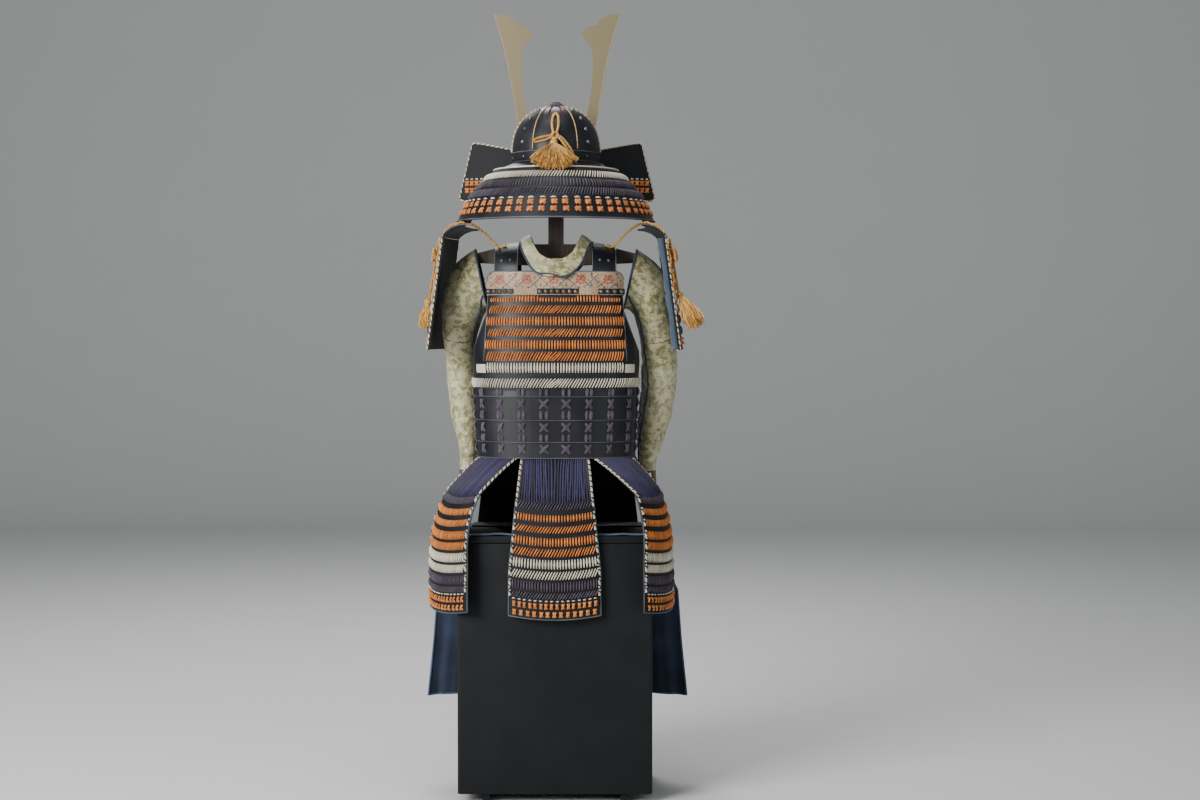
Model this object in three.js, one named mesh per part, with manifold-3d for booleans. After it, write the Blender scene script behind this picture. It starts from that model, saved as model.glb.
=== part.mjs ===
// Samurai armour hung on a stand that rises from a display chest, in millimetres with +Z up.
// A wearer would face -Y, +X is the wearer's left, and the armour's back faces +Y.
// Angles in plan are degrees from the rear (+Y) towards +X.
import * as THREE from "three";
import Module from "manifold-3d";
import { mergeVertices } from "three/addons/utils/BufferGeometryUtils.js";

const wasm = await Module();
wasm.setup();

// Driving dimensions
const SEAM = 0.3; // gap between pieces that touch
const CHEST = { width: 450, depth: 320, bottom: 20, top: 618, corner: 7 };
const LID = { height: 17, overhang: 2 };
const RUNNER = { width: 18, spacing: 320, length: 300 };
const STAND = { width: 36, depth: 30, armReach: 194, armEnd: 1270.6, armTip: 20, armDrop: 52 };
const HEAD_BLOCK = { radius: 78, height: 60, rim: 14, top: 1612 };

// Plan of the body: a rounded box whose half sizes change with height
const BODY_SQUARENESS = 2.5;
const BODY = [
  { z: 792, halfWidth: 186, halfDepth: 122 },
  { z: 951, halfWidth: 194, halfDepth: 126 },
  { z: 1018, halfWidth: 198, halfDepth: 128 },
  { z: 1100, halfWidth: 192, halfDepth: 128 },
  { z: 1170, halfWidth: 186, halfDepth: 125 },
  { z: 1230, halfWidth: 184, halfDepth: 120 },
];
const PLATE = 3; // thickness of the lacquered plates
const LACE = 3.2; // how far a lacing row stands off its plate
const EASE = 1.6; // slope at the edge of a lacing row
const WAIST_TOP = 1018;
const WAIST_TIERS = [794, 831, 882, 937, 951]; // edges of the waist's four tiers
const TIER_STEP = 1.6;
const WAIST_ROWS = [
  { bottom: 951, top: 979 },
  { bottom: 993, top: 1017 },
];
const LACED_HALF_ANGLE = 53.7; // the laced back and front plates end here
const CHEST_ROWS = [
  { bottom: 1020, top: 1043.3 },
  { bottom: 1045.6, top: 1071.1 },
  { bottom: 1073.4, top: 1096.5 },
  { bottom: 1101.1, top: 1126.5 },
  { bottom: 1128.8, top: 1149.6 },
  { bottom: 1152.2, top: 1170 },
];
const WING = { low: 1040, rise: 95, halfAngle: 36 };
const TOP_PLATE = { bottom: 1173, top: 1228, halfAngle: 54.6, corner: 18 };
const STRAP = { inner: 86, outer: 142, thickness: 4, root: 1192, rise: 72, slope: 0.18 };
const COLLAR = [
  { edge: "lower", halfWidth: 84.3, halfDepth: 134, rear: 1216, side: 1299, power: 3 },
  { edge: "upper", halfWidth: 60, halfDepth: 116, rear: 1256, side: 1314, power: 3 },
];
const COLLAR_THICKNESS = 4;
const COLLAR_SQUARENESS = 0.4;

// Helmet: widths are half widths at the sides, and the plan is a little deeper than it is wide
const HELMET_Y = -8;
const BOWL = { halfWidth: 103, base: 1508, height: 110, fullness: 2.25, wall: 2.5, hole: 13 };
const BOWL_LENGTHENING = 12; // extra half depth of the bowl, gone at the neck guard's rim
const RIB = { count: 6, first: 30, height: 2.6, halfAngle: 2 };
const BAND = { bottom: 1484, thickness: 3.2 };
const NECK_SPREAD = 115; // the neck guard runs this far to each side
const NECK_LAMES = [
  { name: "neck_lame_1", topWidth: 102, top: 1483.6, bottomWidth: 147, bottom: 1466, row: false },
  { name: "neck_lame_2", topWidth: 149, top: 1465.6, bottomWidth: 172, bottom: 1442, row: true },
  { name: "neck_lame_3", topWidth: 173, top: 1441.4, bottomWidth: 191, bottom: 1420, row: true },
  { name: "neck_lame_4", topWidth: 192, top: 1419.4, bottomWidth: 210, bottom: 1396, row: true },
  { name: "neck_lame_5", topWidth: 211, top: 1395.4, bottomWidth: 234, bottom: 1346, row: true },
];
const NECK_WALL = 2.6;
const VISOR = { halfSpread: 58, inner: 102, outer: 150, top: 1483.6, bottom: 1473 };
const TURNBACK = { angle: 116.9, thickness: 2.4 };
const HORN = { y: -129, thickness: 2 };
const BOW = { radius: 2.8, knot: { z: 1541, size: 8.5 } };

// Shoulder guards: rear edge, worked from their outline in the rear view
const GUARD = { halfLength: 128, top: 1310, bottom: 1046, topX: 264, bottomX: 300, bow: 14, plate: 4 };
const GUARD_ROW = { count: 10, pitch: 25.8, height: 20 };
const GUARD_TOP = [
  { x: 212, z: 1335 },
  { x: 229, z: 1333 },
  { x: 246, z: 1327 },
  { x: 258, z: 1318 },
  { x: 262.6, z: 1312 },
];

// Sleeves: rings square to the arm's line, heading outwards at the shoulder and then down
const SLEEVE_WALL = 3;
const SLEEVE_SIDES = 14;
const SLEEVES = {
  left: [
    { x: 176, y: -2, z: 1212, heading: 12, across: 72, along: 56 },
    { x: 203, y: -6, z: 1190, heading: 42, across: 64, along: 56 },
    { x: 220, y: -18, z: 1140, heading: 78, across: 51, along: 55 },
    { x: 230, y: -42, z: 1085, heading: 88, across: 42, along: 52 },
    { x: 230, y: -72, z: 1030, heading: 90, across: 38, along: 48 },
    { x: 225, y: -93, z: 975, heading: 92, across: 39, along: 46 },
    { x: 221, y: -101, z: 900, heading: 96, across: 37, along: 42 },
    { x: 214, y: -106, z: 830, heading: 97, across: 28, along: 38 },
    { x: 214, y: -108, z: 782, heading: 93, across: 21, along: 34 },
    { x: 218, y: -108, z: 752, heading: 86, across: 20, along: 34 },
  ],
  right: [
    { x: 176, y: -2, z: 1212, heading: 12, across: 72, along: 56 },
    { x: 203, y: -6, z: 1190, heading: 42, across: 64, along: 56 },
    { x: 228, y: -18, z: 1140, heading: 78, across: 47, along: 55 },
    { x: 240, y: -34, z: 1085, heading: 86, across: 43, along: 53 },
    { x: 246, y: -50, z: 1030, heading: 89, across: 42, along: 51 },
    { x: 246, y: -66, z: 960, heading: 94, across: 41, along: 48 },
    { x: 237, y: -82, z: 890, heading: 99, across: 38, along: 44 },
    { x: 225, y: -94, z: 820, heading: 100, across: 30, along: 39 },
    { x: 219, y: -100, z: 778, heading: 94, across: 22, along: 35 },
    { x: 219, y: -102, z: 750, heading: 88, across: 20, along: 34 },
  ],
};
const HAND_GUARD = { length: 62, thickness: 2.4 };

// Tassets: laces from the waist, then rows of lacing over plates
const TASSET = { laceLength: 92, topShare: 0.84, plate: 4, smile: 9 };
const TASSET_WAIST = WAIST_TIERS[0] - SEAM; // the laces leave the waist's lower edge here
const TASSET_ROWS = [
  { top: 4, bottom: 20 },
  { top: 31, bottom: 44 },
  { top: 55, bottom: 71 },
  { top: 80, bottom: 101 },
  { top: 105, bottom: 126 },
  { top: 130, bottom: 153 },
  { top: 157, bottom: 178 },
  { top: 182, bottom: 203 },
  { top: 207, bottom: 221 },
  { top: 230, bottom: 247 },
  { top: 249, bottom: 266 },
];
const TASSET_LENGTH = 271;
// Each is carried by an arc of the waist and then hangs from its first row's centre to its hem's
const TASSETS = [
  {
    name: "tasset_rear", from: -20, to: 20, facing: 0, arc: 380, half: 107, top: 698,
    x: 0, y: 178, hemX: 0, hemY: 192,
  },
  {
    name: "tasset_rear_left", from: 23, to: 69, facing: 62, arc: 240, half: 107, top: 709,
    x: 226, y: 114, hemX: 270, hemY: 122,
  },
  {
    name: "tasset_rear_right", from: -69, to: -23, facing: -71, arc: 240, half: 107, top: 709,
    x: -230, y: 114, hemX: -262, hemY: 120,
  },
  {
    name: "tasset_side_left", from: 73, to: 113, facing: 94, arc: 300, half: 94, top: 709,
    x: 210, y: -50, hemX: 264, hemY: -57,
  },
  {
    name: "tasset_side_right", from: -113, to: -73, facing: -94, arc: 300, half: 94, top: 709,
    x: -210, y: -50, hemX: -262, hemY: -57,
  },
  {
    name: "tasset_front_left", from: 117, to: 177, facing: 172, arc: 380, half: 100, top: 700,
    x: 104, y: -192, hemX: 108, hemY: -212,
  },
  {
    name: "tasset_front_right", from: -177, to: -117, facing: -172, arc: 380, half: 100, top: 700,
    x: -104, y: -192, hemX: -108, hemY: -212,
  },
];

// Thigh guard cloth: a yoke over the chest's front edge and two panels that hang from it
const APRON = { thickness: 3, yokeHalf: 205, yokeBack: 60, fold: 570, hem: 197, split: 5 };
const APRON_EDGE = [
  { z: 197, x: 318, back: 46 },
  { z: 336, x: 304, back: 30 },
  { z: 453, x: 296, back: 12 },
  { z: 492, x: 276, back: 4 },
  { z: 567, x: 236, back: 0 },
];

const COLOURS = {
  chest: [0x1a1e22, 0.45, 0.1],
  stand: [0x2b241f, 0.6, 0],
  lacquer: [0x191b20, 0.3, 0.2],
  orange: [0xe1782d, 0.8, 0],
  brass: [0xc8b98c, 0.35, 0.9],
  gold: [0xe1a53c, 0.75, 0],
  brocade: [0xbeb982, 0.7, 0],
  leather: [0xbea57d, 0.7, 0],
  navy: [0x1e2a42, 0.9, 0],
};

const rad = THREE.MathUtils.degToRad;
const lerp = THREE.MathUtils.lerp;

/** Value of one column at a place along another, in a table sorted by that other column. */
function lookUp(table, key, at, column) {
  const rows = table[0][key] < table.at(-1)[key] ? table : [...table].reverse();
  if (at <= rows[0][key]) {
    return rows[0][column];
  }
  const next = rows.findIndex((row) => row[key] >= at);
  if (next < 0) {
    return rows.at(-1)[column];
  }
  const share = (at - rows[next - 1][key]) / (rows[next][key] - rows[next - 1][key]);
  return lerp(rows[next - 1][column], rows[next][column], share);
}

/** Evenly spaced values from start to end, both included. */
function spaced(start, end, steps) {
  return Array.from({ length: steps + 1 }, (_, step) => lerp(start, end, step / steps));
}

/** Triangles that close a thin ring, zipped between its two long sides. */
function capFaces(ring) {
  const faces = [];
  let low = 0;
  let high = ring.length - 1;
  while (high - low > 1) {
    const ahead = ring[low + 1].distanceToSquared(ring[high]);
    const behind = ring[low].distanceToSquared(ring[high - 1]);
    if (ahead <= behind) {
      faces.push([low, low + 1, high]);
      low += 1;
    } else {
      faces.push([low, high - 1, high]);
      high -= 1;
    }
  }
  return faces;
}

/** Turns a closed geometry inside out if its faces look inwards. */
function facingOut(geometry) {
  const index = geometry.getIndex().array;
  const position = geometry.getAttribute("position");
  const corners = [new THREE.Vector3(), new THREE.Vector3(), new THREE.Vector3()];
  let volume = 0;
  for (let at = 0; at < index.length; at += 3) {
    corners.forEach((corner, which) => corner.fromBufferAttribute(position, index[at + which]));
    volume += corners[0].dot(corners[1].cross(corners[2]));
  }
  if (volume < 0) {
    for (let at = 0; at < index.length; at += 3) {
      [index[at], index[at + 1]] = [index[at + 1], index[at]];
    }
  }
  return geometry;
}

/** Closed solid through rings of equally many points, open ended or joined end to end. */
function loft(rings, closed = false) {
  const size = rings[0].length;
  const index = [];
  const spans = closed ? rings.length : rings.length - 1;
  for (let ring = 0; ring < spans; ring++) {
    const here = ring * size;
    const there = ((ring + 1) % rings.length) * size;
    for (let corner = 0; corner < size; corner++) {
      const next = (corner + 1) % size;
      index.push(here + corner, here + next, there + next);
      index.push(here + corner, there + next, there + corner);
    }
  }
  if (!closed) {
    const end = (rings.length - 1) * size;
    capFaces(rings[0]).forEach(([a, b, c]) => index.push(c, b, a));
    capFaces(rings.at(-1)).forEach(([a, b, c]) => index.push(end + a, end + b, end + c));
  }
  const positions = rings.flat().flatMap((point) => point.toArray());
  const geometry = new THREE.BufferGeometry();
  geometry.setAttribute("position", new THREE.Float32BufferAttribute(positions, 3));
  geometry.setIndex(index);
  return facingOut(geometry);
}

/** Sheet: one section, given as [down, out] pairs, at each column of a surface. */
function sheet(columns, section, surface, closed = false) {
  return loft(
    columns.map((column) => section(column).map(([down, out]) => surface(column, down, out))),
    closed,
  );
}

/** Bare geometry with shared corners merged. */
function welded(geometry) {
  const bare = geometry.clone();
  bare.deleteAttribute("normal");
  bare.deleteAttribute("uv");
  return mergeVertices(bare, 1e-4);
}

/** The same solid on the other side of the body. */
function mirrored(geometry) {
  return facingOut(welded(geometry).scale(-1, 1, 1));
}

/** Solid for joining, from a closed geometry. */
function solidOf(geometry) {
  const merged = welded(geometry);
  return new wasm.Manifold(
    new wasm.Mesh({
      numProp: 3,
      vertProperties: new Float32Array(merged.getAttribute("position").array),
      triVerts: new Uint32Array(merged.getIndex().array),
    }),
  );
}

/** One geometry from several that run into each other. */
function joined(geometries) {
  const mesh = geometries.map(solidOf).reduce((sum, solid) => sum.add(solid)).getMesh();
  const geometry = new THREE.BufferGeometry();
  geometry.setAttribute("position", new THREE.Float32BufferAttribute(mesh.vertProperties, 3));
  geometry.setIndex([...mesh.triVerts]);
  return geometry;
}

/** Round cord through points, with a flat end at each. */
function cordGeometry(points, radius, steps, sides = 8) {
  const curve = new THREE.CatmullRomCurve3(points.map((point) => new THREE.Vector3(...point)));
  const shape = new THREE.Shape(
    spaced(0, 360, sides)
      .slice(0, -1)
      .map((turn) => new THREE.Vector2(radius * Math.cos(rad(turn)), radius * Math.sin(rad(turn)))),
  );
  return new THREE.ExtrudeGeometry(shape, { steps, extrudePath: curve });
}

/** Box between two corners. */
function block(low, high) {
  const size = high.map((value, axis) => value - low[axis]);
  const centre = high.map((value, axis) => (value + low[axis]) / 2);
  return new THREE.BoxGeometry(...size).translate(...centre);
}

/** Flat plate cut from an outline that is drawn as seen from the front of its own plane. */
function plate(shape, thickness) {
  return new THREE.ExtrudeGeometry(shape, { depth: thickness, bevelEnabled: false, curveSegments: 7 });
}

/** Upright slab with rounded corners in plan. */
function slab(width, depth, bottom, top, corner) {
  const shape = new THREE.Shape();
  const x = width / 2 - corner;
  const y = depth / 2 - corner;
  shape.absarc(x, y, corner, 0, rad(90));
  shape.absarc(-x, y, corner, rad(90), rad(180));
  shape.absarc(-x, -y, corner, rad(180), rad(270));
  shape.absarc(x, -y, corner, rad(270), rad(360));
  return new THREE.ExtrudeGeometry(shape, {
    depth: top - bottom,
    bevelEnabled: false,
    curveSegments: 3,
  }).translate(0, 0, bottom);
}

/** Point on the body's plan at a height, moved out along the plan's normal. */
function bodyPoint(angle, z, out) {
  const halfWidth = lookUp(BODY, "z", z, "halfWidth");
  const halfDepth = lookUp(BODY, "z", z, "halfDepth");
  const sine = Math.sin(rad(angle));
  const cosine = Math.cos(rad(angle));
  const across = Math.sign(sine) * Math.abs(sine) ** (2 / BODY_SQUARENESS);
  const back = Math.sign(cosine) * Math.abs(cosine) ** (2 / BODY_SQUARENESS);
  const normal = new THREE.Vector2(
    (Math.sign(across) * Math.abs(across) ** (BODY_SQUARENESS - 1)) / halfWidth,
    (Math.sign(back) * Math.abs(back) ** (BODY_SQUARENESS - 1)) / halfDepth,
  ).normalize();
  return new THREE.Vector3(halfWidth * across + normal.x * out, halfDepth * back + normal.y * out, z);
}

/** The body plan's half depth at a distance from its middle line. */
function bodyDepthAt(x, z) {
  const share = (Math.abs(x) / lookUp(BODY, "z", z, "halfWidth")) ** BODY_SQUARENESS;
  return lookUp(BODY, "z", z, "halfDepth") * (1 - share) ** (1 / BODY_SQUARENESS);
}

/** Outer side of a laced section, rising: each row stands off the plate. */
function rowSteps(rows, surface) {
  return rows.flatMap(({ bottom, top }) => [
    [bottom, surface],
    [bottom + EASE, surface + LACE],
    [top - EASE, surface + LACE],
  ]);
}

/** Half of the waist tube: four tiers of plates below two white rows. */
function waistHalf(centre) {
  const tiers = WAIST_TIERS.slice(1).flatMap((top, tier) => [
    [WAIST_TIERS[tier], TIER_STEP],
    [top, 0],
  ]);
  const outer = [...tiers, ...rowSteps(WAIST_ROWS, 0).slice(1), [WAIST_TOP, 0]];
  const section = () => [...outer, [WAIST_TOP, -PLATE], [WAIST_TIERS[0], -PLATE]];
  const shift = Math.cos(rad(centre)) * (SEAM / 2);
  return sheet(spaced(centre - 90, centre + 90, 14), section, bodyPoint).translate(0, shift, 0);
}

/** Laced chest plate, in front or at the back, above the waist. */
function lacedPlate(centre) {
  const bottom = WAIST_TOP + SEAM;
  const top = TOP_PLATE.bottom - SEAM;
  const outer = [[bottom, 0], ...rowSteps(CHEST_ROWS, 0), [top, 0]];
  const section = () => [...outer, [top, -PLATE], [bottom, -PLATE]];
  const half = LACED_HALF_ANGLE;
  return sheet(spaced(centre - half, centre + half, 10), section, bodyPoint);
}

/** Plain plate under one arm, with the armhole's dip in its top edge. */
function sideWing() {
  const bottom = WAIST_TOP + SEAM;
  const first = LACED_HALF_ANGLE + 0.15;
  const topAt = (angle) => WING.low + WING.rise * ((angle - 90) / WING.halfAngle) ** 2;
  const section = (angle) => [
    [bottom, 0],
    [topAt(angle), 0],
    [topAt(angle), -PLATE],
    [bottom, -PLATE],
  ];
  return sheet(spaced(first, 180 - first, 12), section, bodyPoint);
}

/** Printed plate at the top of the back or chest, with rounded upper corners. */
function topPlate(centre) {
  const half = TOP_PLATE.halfAngle;
  const columns = [-half, -half + 1, -half + 3, -half + 6.5, ...spaced(-42, 42, 8)];
  columns.push(half - 6.5, half - 3, half - 1, half);
  const edge = bodyPoint(half, TOP_PLATE.top, 0).x;
  const topAt = (angle) => {
    const inset = Math.min(edge - Math.abs(bodyPoint(angle, TOP_PLATE.top, 0).x), TOP_PLATE.corner);
    const lean = TOP_PLATE.corner - inset;
    return TOP_PLATE.top - TOP_PLATE.corner + Math.sqrt(TOP_PLATE.corner ** 2 - lean ** 2);
  };
  const section = (angle) => {
    const top = topAt(angle - centre);
    return [
      [TOP_PLATE.bottom, 0],
      [TOP_PLATE.bottom, PLATE],
      [top, PLATE],
      [top, 0],
    ];
  };
  return sheet(columns.map((angle) => angle + centre), section, bodyPoint);
}

/** Point on a shoulder strap: rises behind the back plate, arches over and drops in front. */
function strapPoint(x, along, out) {
  const arch = THREE.MathUtils.clamp(along, 0, 180);
  const overshoot = Math.abs(along - arch);
  const z = TOP_PLATE.top - (overshoot / 10) * (TOP_PLATE.top - STRAP.root);
  const depth = bodyDepthAt(x, z) - 1;
  const rise = STRAP.rise - (x - STRAP.inner) * STRAP.slope;
  const normal = new THREE.Vector2(Math.cos(rad(arch)), Math.sin(rad(arch)));
  return new THREE.Vector3(x, (depth + out) * normal.x, z + (rise + out) * normal.y);
}

/** Shoulder strap on the wearer's left. */
function strap() {
  const path = [-10, ...spaced(0, 180, 10), 190];
  const section = () => [
    ...path.map((along) => [along, 0]),
    ...[...path].reverse().map((along) => [along, -STRAP.thickness]),
  ];
  return sheet(spaced(STRAP.inner, STRAP.outer, 3), section, strapPoint);
}

/** Neck band: a ring that dips over the back and front plates and rises over the shoulders. */
function neckCollar() {
  const edgeAt = (edge, angle) => {
    const lift = Math.abs(Math.sin(rad(angle))) ** edge.power;
    const cosine = Math.cos(rad(angle));
    return new THREE.Vector3(
      edge.halfWidth * Math.sin(rad(angle)),
      edge.halfDepth * Math.sign(cosine) * Math.abs(cosine) ** COLLAR_SQUARENESS,
      lerp(edge.rear, edge.side, lift),
    );
  };
  const ring = (angle) => {
    const [lower, upper] = COLLAR.map((edge) => edgeAt(edge, angle));
    const ahead = edgeAt(COLLAR[0], angle + 1).sub(edgeAt(COLLAR[0], angle - 1));
    const normal = ahead.cross(upper.clone().sub(lower)).normalize();
    const half = normal.multiplyScalar(COLLAR_THICKNESS / 2);
    return [
      lower.clone().sub(half),
      lower.clone().add(half),
      upper.clone().add(half),
      upper.clone().sub(half),
    ];
  };
  return loft(spaced(0, 360, 28).slice(0, -1).map(ring), true);
}

/** Point on the helmet's plan for a half width at the side. */
function helmetPoint(angle, width, z) {
  const rimWidth = NECK_LAMES.at(-1).bottomWidth;
  const share = THREE.MathUtils.clamp((width - BOWL.halfWidth) / (rimWidth - BOWL.halfWidth), 0, 1);
  const depth = width * (1 + (BOWL_LENGTHENING / BOWL.halfWidth) * (1 - share));
  return new THREE.Vector3(
    width * Math.sin(rad(angle)),
    HELMET_Y + depth * Math.cos(rad(angle)),
    z,
  );
}

/** Bowl's outer half width at a height above its base. */
function bowlWidth(height) {
  const share = THREE.MathUtils.clamp(height / BOWL.height, 0, 1);
  return BOWL.halfWidth * (1 - share ** BOWL.fullness) ** (1 / BOWL.fullness);
}

/** Height above the base where the bowl has a given outer half width. */
function bowlHeight(width) {
  return BOWL.height * (1 - (width / BOWL.halfWidth) ** BOWL.fullness) ** (1 / BOWL.fullness);
}

/** Ribbed bowl, open below and with a small round hole at the crown. */
function helmetBowl() {
  const bottom = BOWL.base + SEAM;
  const widths = [BOWL.halfWidth, 97, 84, 62, 36, BOWL.hole];
  const sector = 360 / RIB.count;
  const turns = [-RIB.halfAngle, 0, RIB.halfAngle, 20, 40];
  const rings = [];
  for (let rib = 0; rib < RIB.count; rib++) {
    for (const turn of turns) {
      const angle = RIB.first + rib * sector + turn;
      const raise = turn === 0 ? RIB.height : 0;
      const outer = widths.map((width, level) => {
        const rise = level < widths.length - 1 ? raise : 0;
        return helmetPoint(angle, width + rise * 0.8, bottom + bowlHeight(width) + rise * 0.4);
      });
      const inner = [...widths].reverse().map((width) => {
        const share = width / BOWL.halfWidth;
        const lowering = BOWL.wall * Math.sqrt(1 - share ** 2);
        const inset = width === BOWL.hole ? 0 : BOWL.wall * share;
        return helmetPoint(angle, width - inset, bottom + bowlHeight(width) - lowering);
      });
      rings.push([...outer, ...inner]);
    }
  }
  return loft(rings, true);
}

/** Band round the bowl's base. */
function helmetBand() {
  const ring = (angle) => [
    helmetPoint(angle, BOWL.halfWidth + 0.8, BAND.bottom),
    helmetPoint(angle, BOWL.halfWidth + 0.8, BOWL.base),
    helmetPoint(angle, BOWL.halfWidth + 0.8 - BAND.thickness, BOWL.base),
    helmetPoint(angle, BOWL.halfWidth + 0.8 - BAND.thickness, BAND.bottom),
  ];
  return loft(spaced(0, 360, 28).slice(0, -1).map(ring), true);
}

/** One sloping plate round part of the helmet; a laced one has a raised row. */
function helmetPlate(lame, centre, spread, steps) {
  const run = new THREE.Vector2(lame.bottomWidth - lame.topWidth, lame.bottom - lame.top);
  const length = run.length();
  run.divideScalar(length);
  const outer = lame.row
    ? [[0, 0], [2, LACE], [length - 6, LACE], [length - 4, 0], [length, 0]]
    : [[0, 0], [length, 0]];
  const section = () => [...outer, [length, -NECK_WALL], [0, -NECK_WALL]];
  const surface = (angle, down, out) => {
    const width = lame.topWidth + run.x * down - run.y * out;
    return helmetPoint(angle, width, lame.top + run.y * down + run.x * out);
  };
  return sheet(spaced(centre - spread, centre + spread, steps), section, surface);
}

/** Turned-back plate at the front end of the neck guard, on the wearer's left. */
function turnback() {
  const shape = new THREE.Shape();
  shape.moveTo(124, 1524);
  shape.lineTo(220, 1543);
  shape.quadraticCurveTo(229, 1544, 232, 1534);
  shape.lineTo(266, 1420);
  shape.quadraticCurveTo(268, 1408, 258, 1404);
  shape.quadraticCurveTo(215, 1396, 165, 1442);
  shape.quadraticCurveTo(132, 1476, 124, 1524);
  return plate(shape, TURNBACK.thickness)
    .rotateX(rad(90))
    .rotateZ(rad(90 - TURNBACK.angle))
    .translate(0, HELMET_Y, 0);
}

/** Flat horn on the wearer's left, with a lobe and a notch on its inner side. */
function horn() {
  const shape = new THREE.Shape();
  shape.moveTo(52, 1506);
  shape.lineTo(75, 1502);
  shape.quadraticCurveTo(92, 1570, 104, 1640);
  shape.quadraticCurveTo(124, 1770, 154, 1853);
  shape.quadraticCurveTo(118, 1860, 100, 1836);
  shape.quadraticCurveTo(100, 1824, 90, 1827);
  shape.quadraticCurveTo(70, 1830, 58, 1804);
  shape.quadraticCurveTo(72, 1792, 85, 1768);
  shape.quadraticCurveTo(90, 1700, 74, 1620);
  shape.quadraticCurveTo(66, 1560, 52, 1506);
  return plate(shape, HORN.thickness).rotateX(rad(90)).translate(0, HORN.y + HORN.thickness, 0);
}

/** Solid of revolution about an upright axis, from [radius, z] pairs that start and end on it. */
function turned(profile, x, y, sides) {
  const points = profile.map(([radius, z]) => new THREE.Vector2(radius, z));
  return new THREE.LatheGeometry(points, sides).rotateX(rad(90)).translate(x, y, 0);
}

/** Three-sided strand that curves through three points and thins towards its tip. */
function strand(root, middle, tip, radius) {
  const axis = new THREE.Vector3().subVectors(tip, root).normalize();
  const side = new THREE.Vector3(1, 0.01, 0).cross(axis).normalize();
  const other = new THREE.Vector3().crossVectors(axis, side);
  const ring = (centre, size) =>
    [0, 120, 240].map((turn) =>
      centre
        .clone()
        .addScaledVector(side, size * Math.cos(rad(turn)))
        .addScaledVector(other, size * Math.sin(rad(turn))),
    );
  return loft([ring(root, radius * 0.6), ring(middle, radius), ring(tip, radius * 0.7)]);
}

/** Tassel: strands that fan out from a head, in rows from front to back. */
function tassel({ x, y, z, head, length, spread, rows, perRow, lean, radius }) {
  const pieces = [new THREE.SphereGeometry(head, 8, 5).translate(x, y, z)];
  for (let row = 0; row < rows; row++) {
    for (let place = 0; place < perRow; place++) {
      const share = (place + 0.5 * (row % 2)) / (perRow - 0.5);
      const fan = rad(lerp(-spread, spread, share));
      const out = lean + (row - (rows - 1) / 2) * 7;
      const reach = length * (1 - 0.12 * ((place * 7 + row * 3) % 5) / 4);
      const tip = new THREE.Vector3(
        x + reach * Math.sin(fan),
        y + out,
        z - reach * Math.cos(fan),
      );
      const root = new THREE.Vector3(x, y, z);
      const middle = root.clone().lerp(tip, 0.5).add(new THREE.Vector3(0, (row - 1) * 1.5, 0));
      pieces.push(strand(root, middle, tip, radius));
    }
  }
  return joined(pieces);
}

/** Point off the back of the bowl, at a distance from its surface. */
function bowlRear(x, z, off) {
  const width = bowlWidth(z - BOWL.base);
  const lengthening = 1 + BOWL_LENGTHENING / BOWL.halfWidth;
  return new THREE.Vector3(x, HELMET_Y + lengthening * Math.sqrt(width ** 2 - x ** 2) + off, z);
}

/** Knotted bow at the back of the bowl: an upright double loop and a loop to each side. */
function rearBow() {
  const { radius, knot } = BOW;
  const off = radius + SEAM;
  const loops = [
    [[-3, 1544, 4], [-6, 1572, 1], [-5, 1591, 6], [3, 1592, 6], [5, 1572, 1], [3, 1544, 4]],
    [[2, 1541, 5], [22, 1538, 1], [43, 1532, 0], [43, 1526, 0], [22, 1531, 1], [2, 1539, 6]],
    [[-2, 1541, 5], [-16, 1532, 3], [-30, 1514, 6], [-27, 1507, 7], [-14, 1524, 7], [-2, 1538, 7]],
  ];
  const cords = loops.map((points) =>
    cordGeometry(points.map(([x, z, more]) => bowlRear(x, z, off + more).toArray()), radius, 10, 5),
  );
  const centre = bowlRear(0, knot.z, knot.size - 2.8);
  const ball = new THREE.SphereGeometry(knot.size, 10, 7).translate(centre.x, centre.y, centre.z);
  return joined([...cords, ball]);
}

/** Point on a shoulder guard's outer face: along runs front to back, down from the top edge. */
function guardPoint(turn) {
  const lean = new THREE.Vector2(GUARD.bottomX - GUARD.topX, GUARD.bottom - GUARD.top);
  const length = lean.length();
  lean.divideScalar(length);
  return (along, down, out) =>
    new THREE.Vector3(
      GUARD.topX + lean.x * down - lean.y * out - GUARD.bow * along ** 2 + turn * along,
      GUARD.halfLength * along,
      GUARD.top + lean.y * down + lean.x * out,
    );
}

/** Laced face of a shoulder guard. */
function shoulderGuard(turn) {
  const length = Math.hypot(GUARD.bottomX - GUARD.topX, GUARD.bottom - GUARD.top);
  const rows = Array.from({ length: GUARD_ROW.count }, (_, row) => 4 + row * GUARD_ROW.pitch);
  const outer = rows.flatMap((top) => [
    [top, 0],
    [top + EASE, LACE],
    [top + GUARD_ROW.height - EASE, LACE],
  ]);
  const section = () => [[0, 0], ...outer, [length, 0], [length, -GUARD.plate], [0, -GUARD.plate]];
  return sheet(spaced(-1, 1, 4), section, guardPoint(turn));
}

/** Bent plate along the top of a shoulder guard. */
function guardTop(turn) {
  const path = GUARD_TOP.map(({ x, z }) => new THREE.Vector2(x, z));
  const sectionPoints = (offset) =>
    path.map((point, at) => {
      const ahead = path[Math.min(at + 1, path.length - 1)];
      const behind = path[Math.max(at - 1, 0)];
      const run = ahead.clone().sub(behind).normalize();
      return new THREE.Vector2(point.x - run.y * offset, point.y + run.x * offset);
    });
  const loop = [...sectionPoints(0), ...sectionPoints(-PLATE).reverse()];
  const ring = (along) =>
    loop.map(
      (point) =>
        new THREE.Vector3(
          point.x - GUARD.bow * along ** 2 + turn * along,
          GUARD.halfLength * 0.94 * along,
          point.y,
        ),
    );
  return loft(spaced(-1, 1, 5).map(ring));
}

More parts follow.
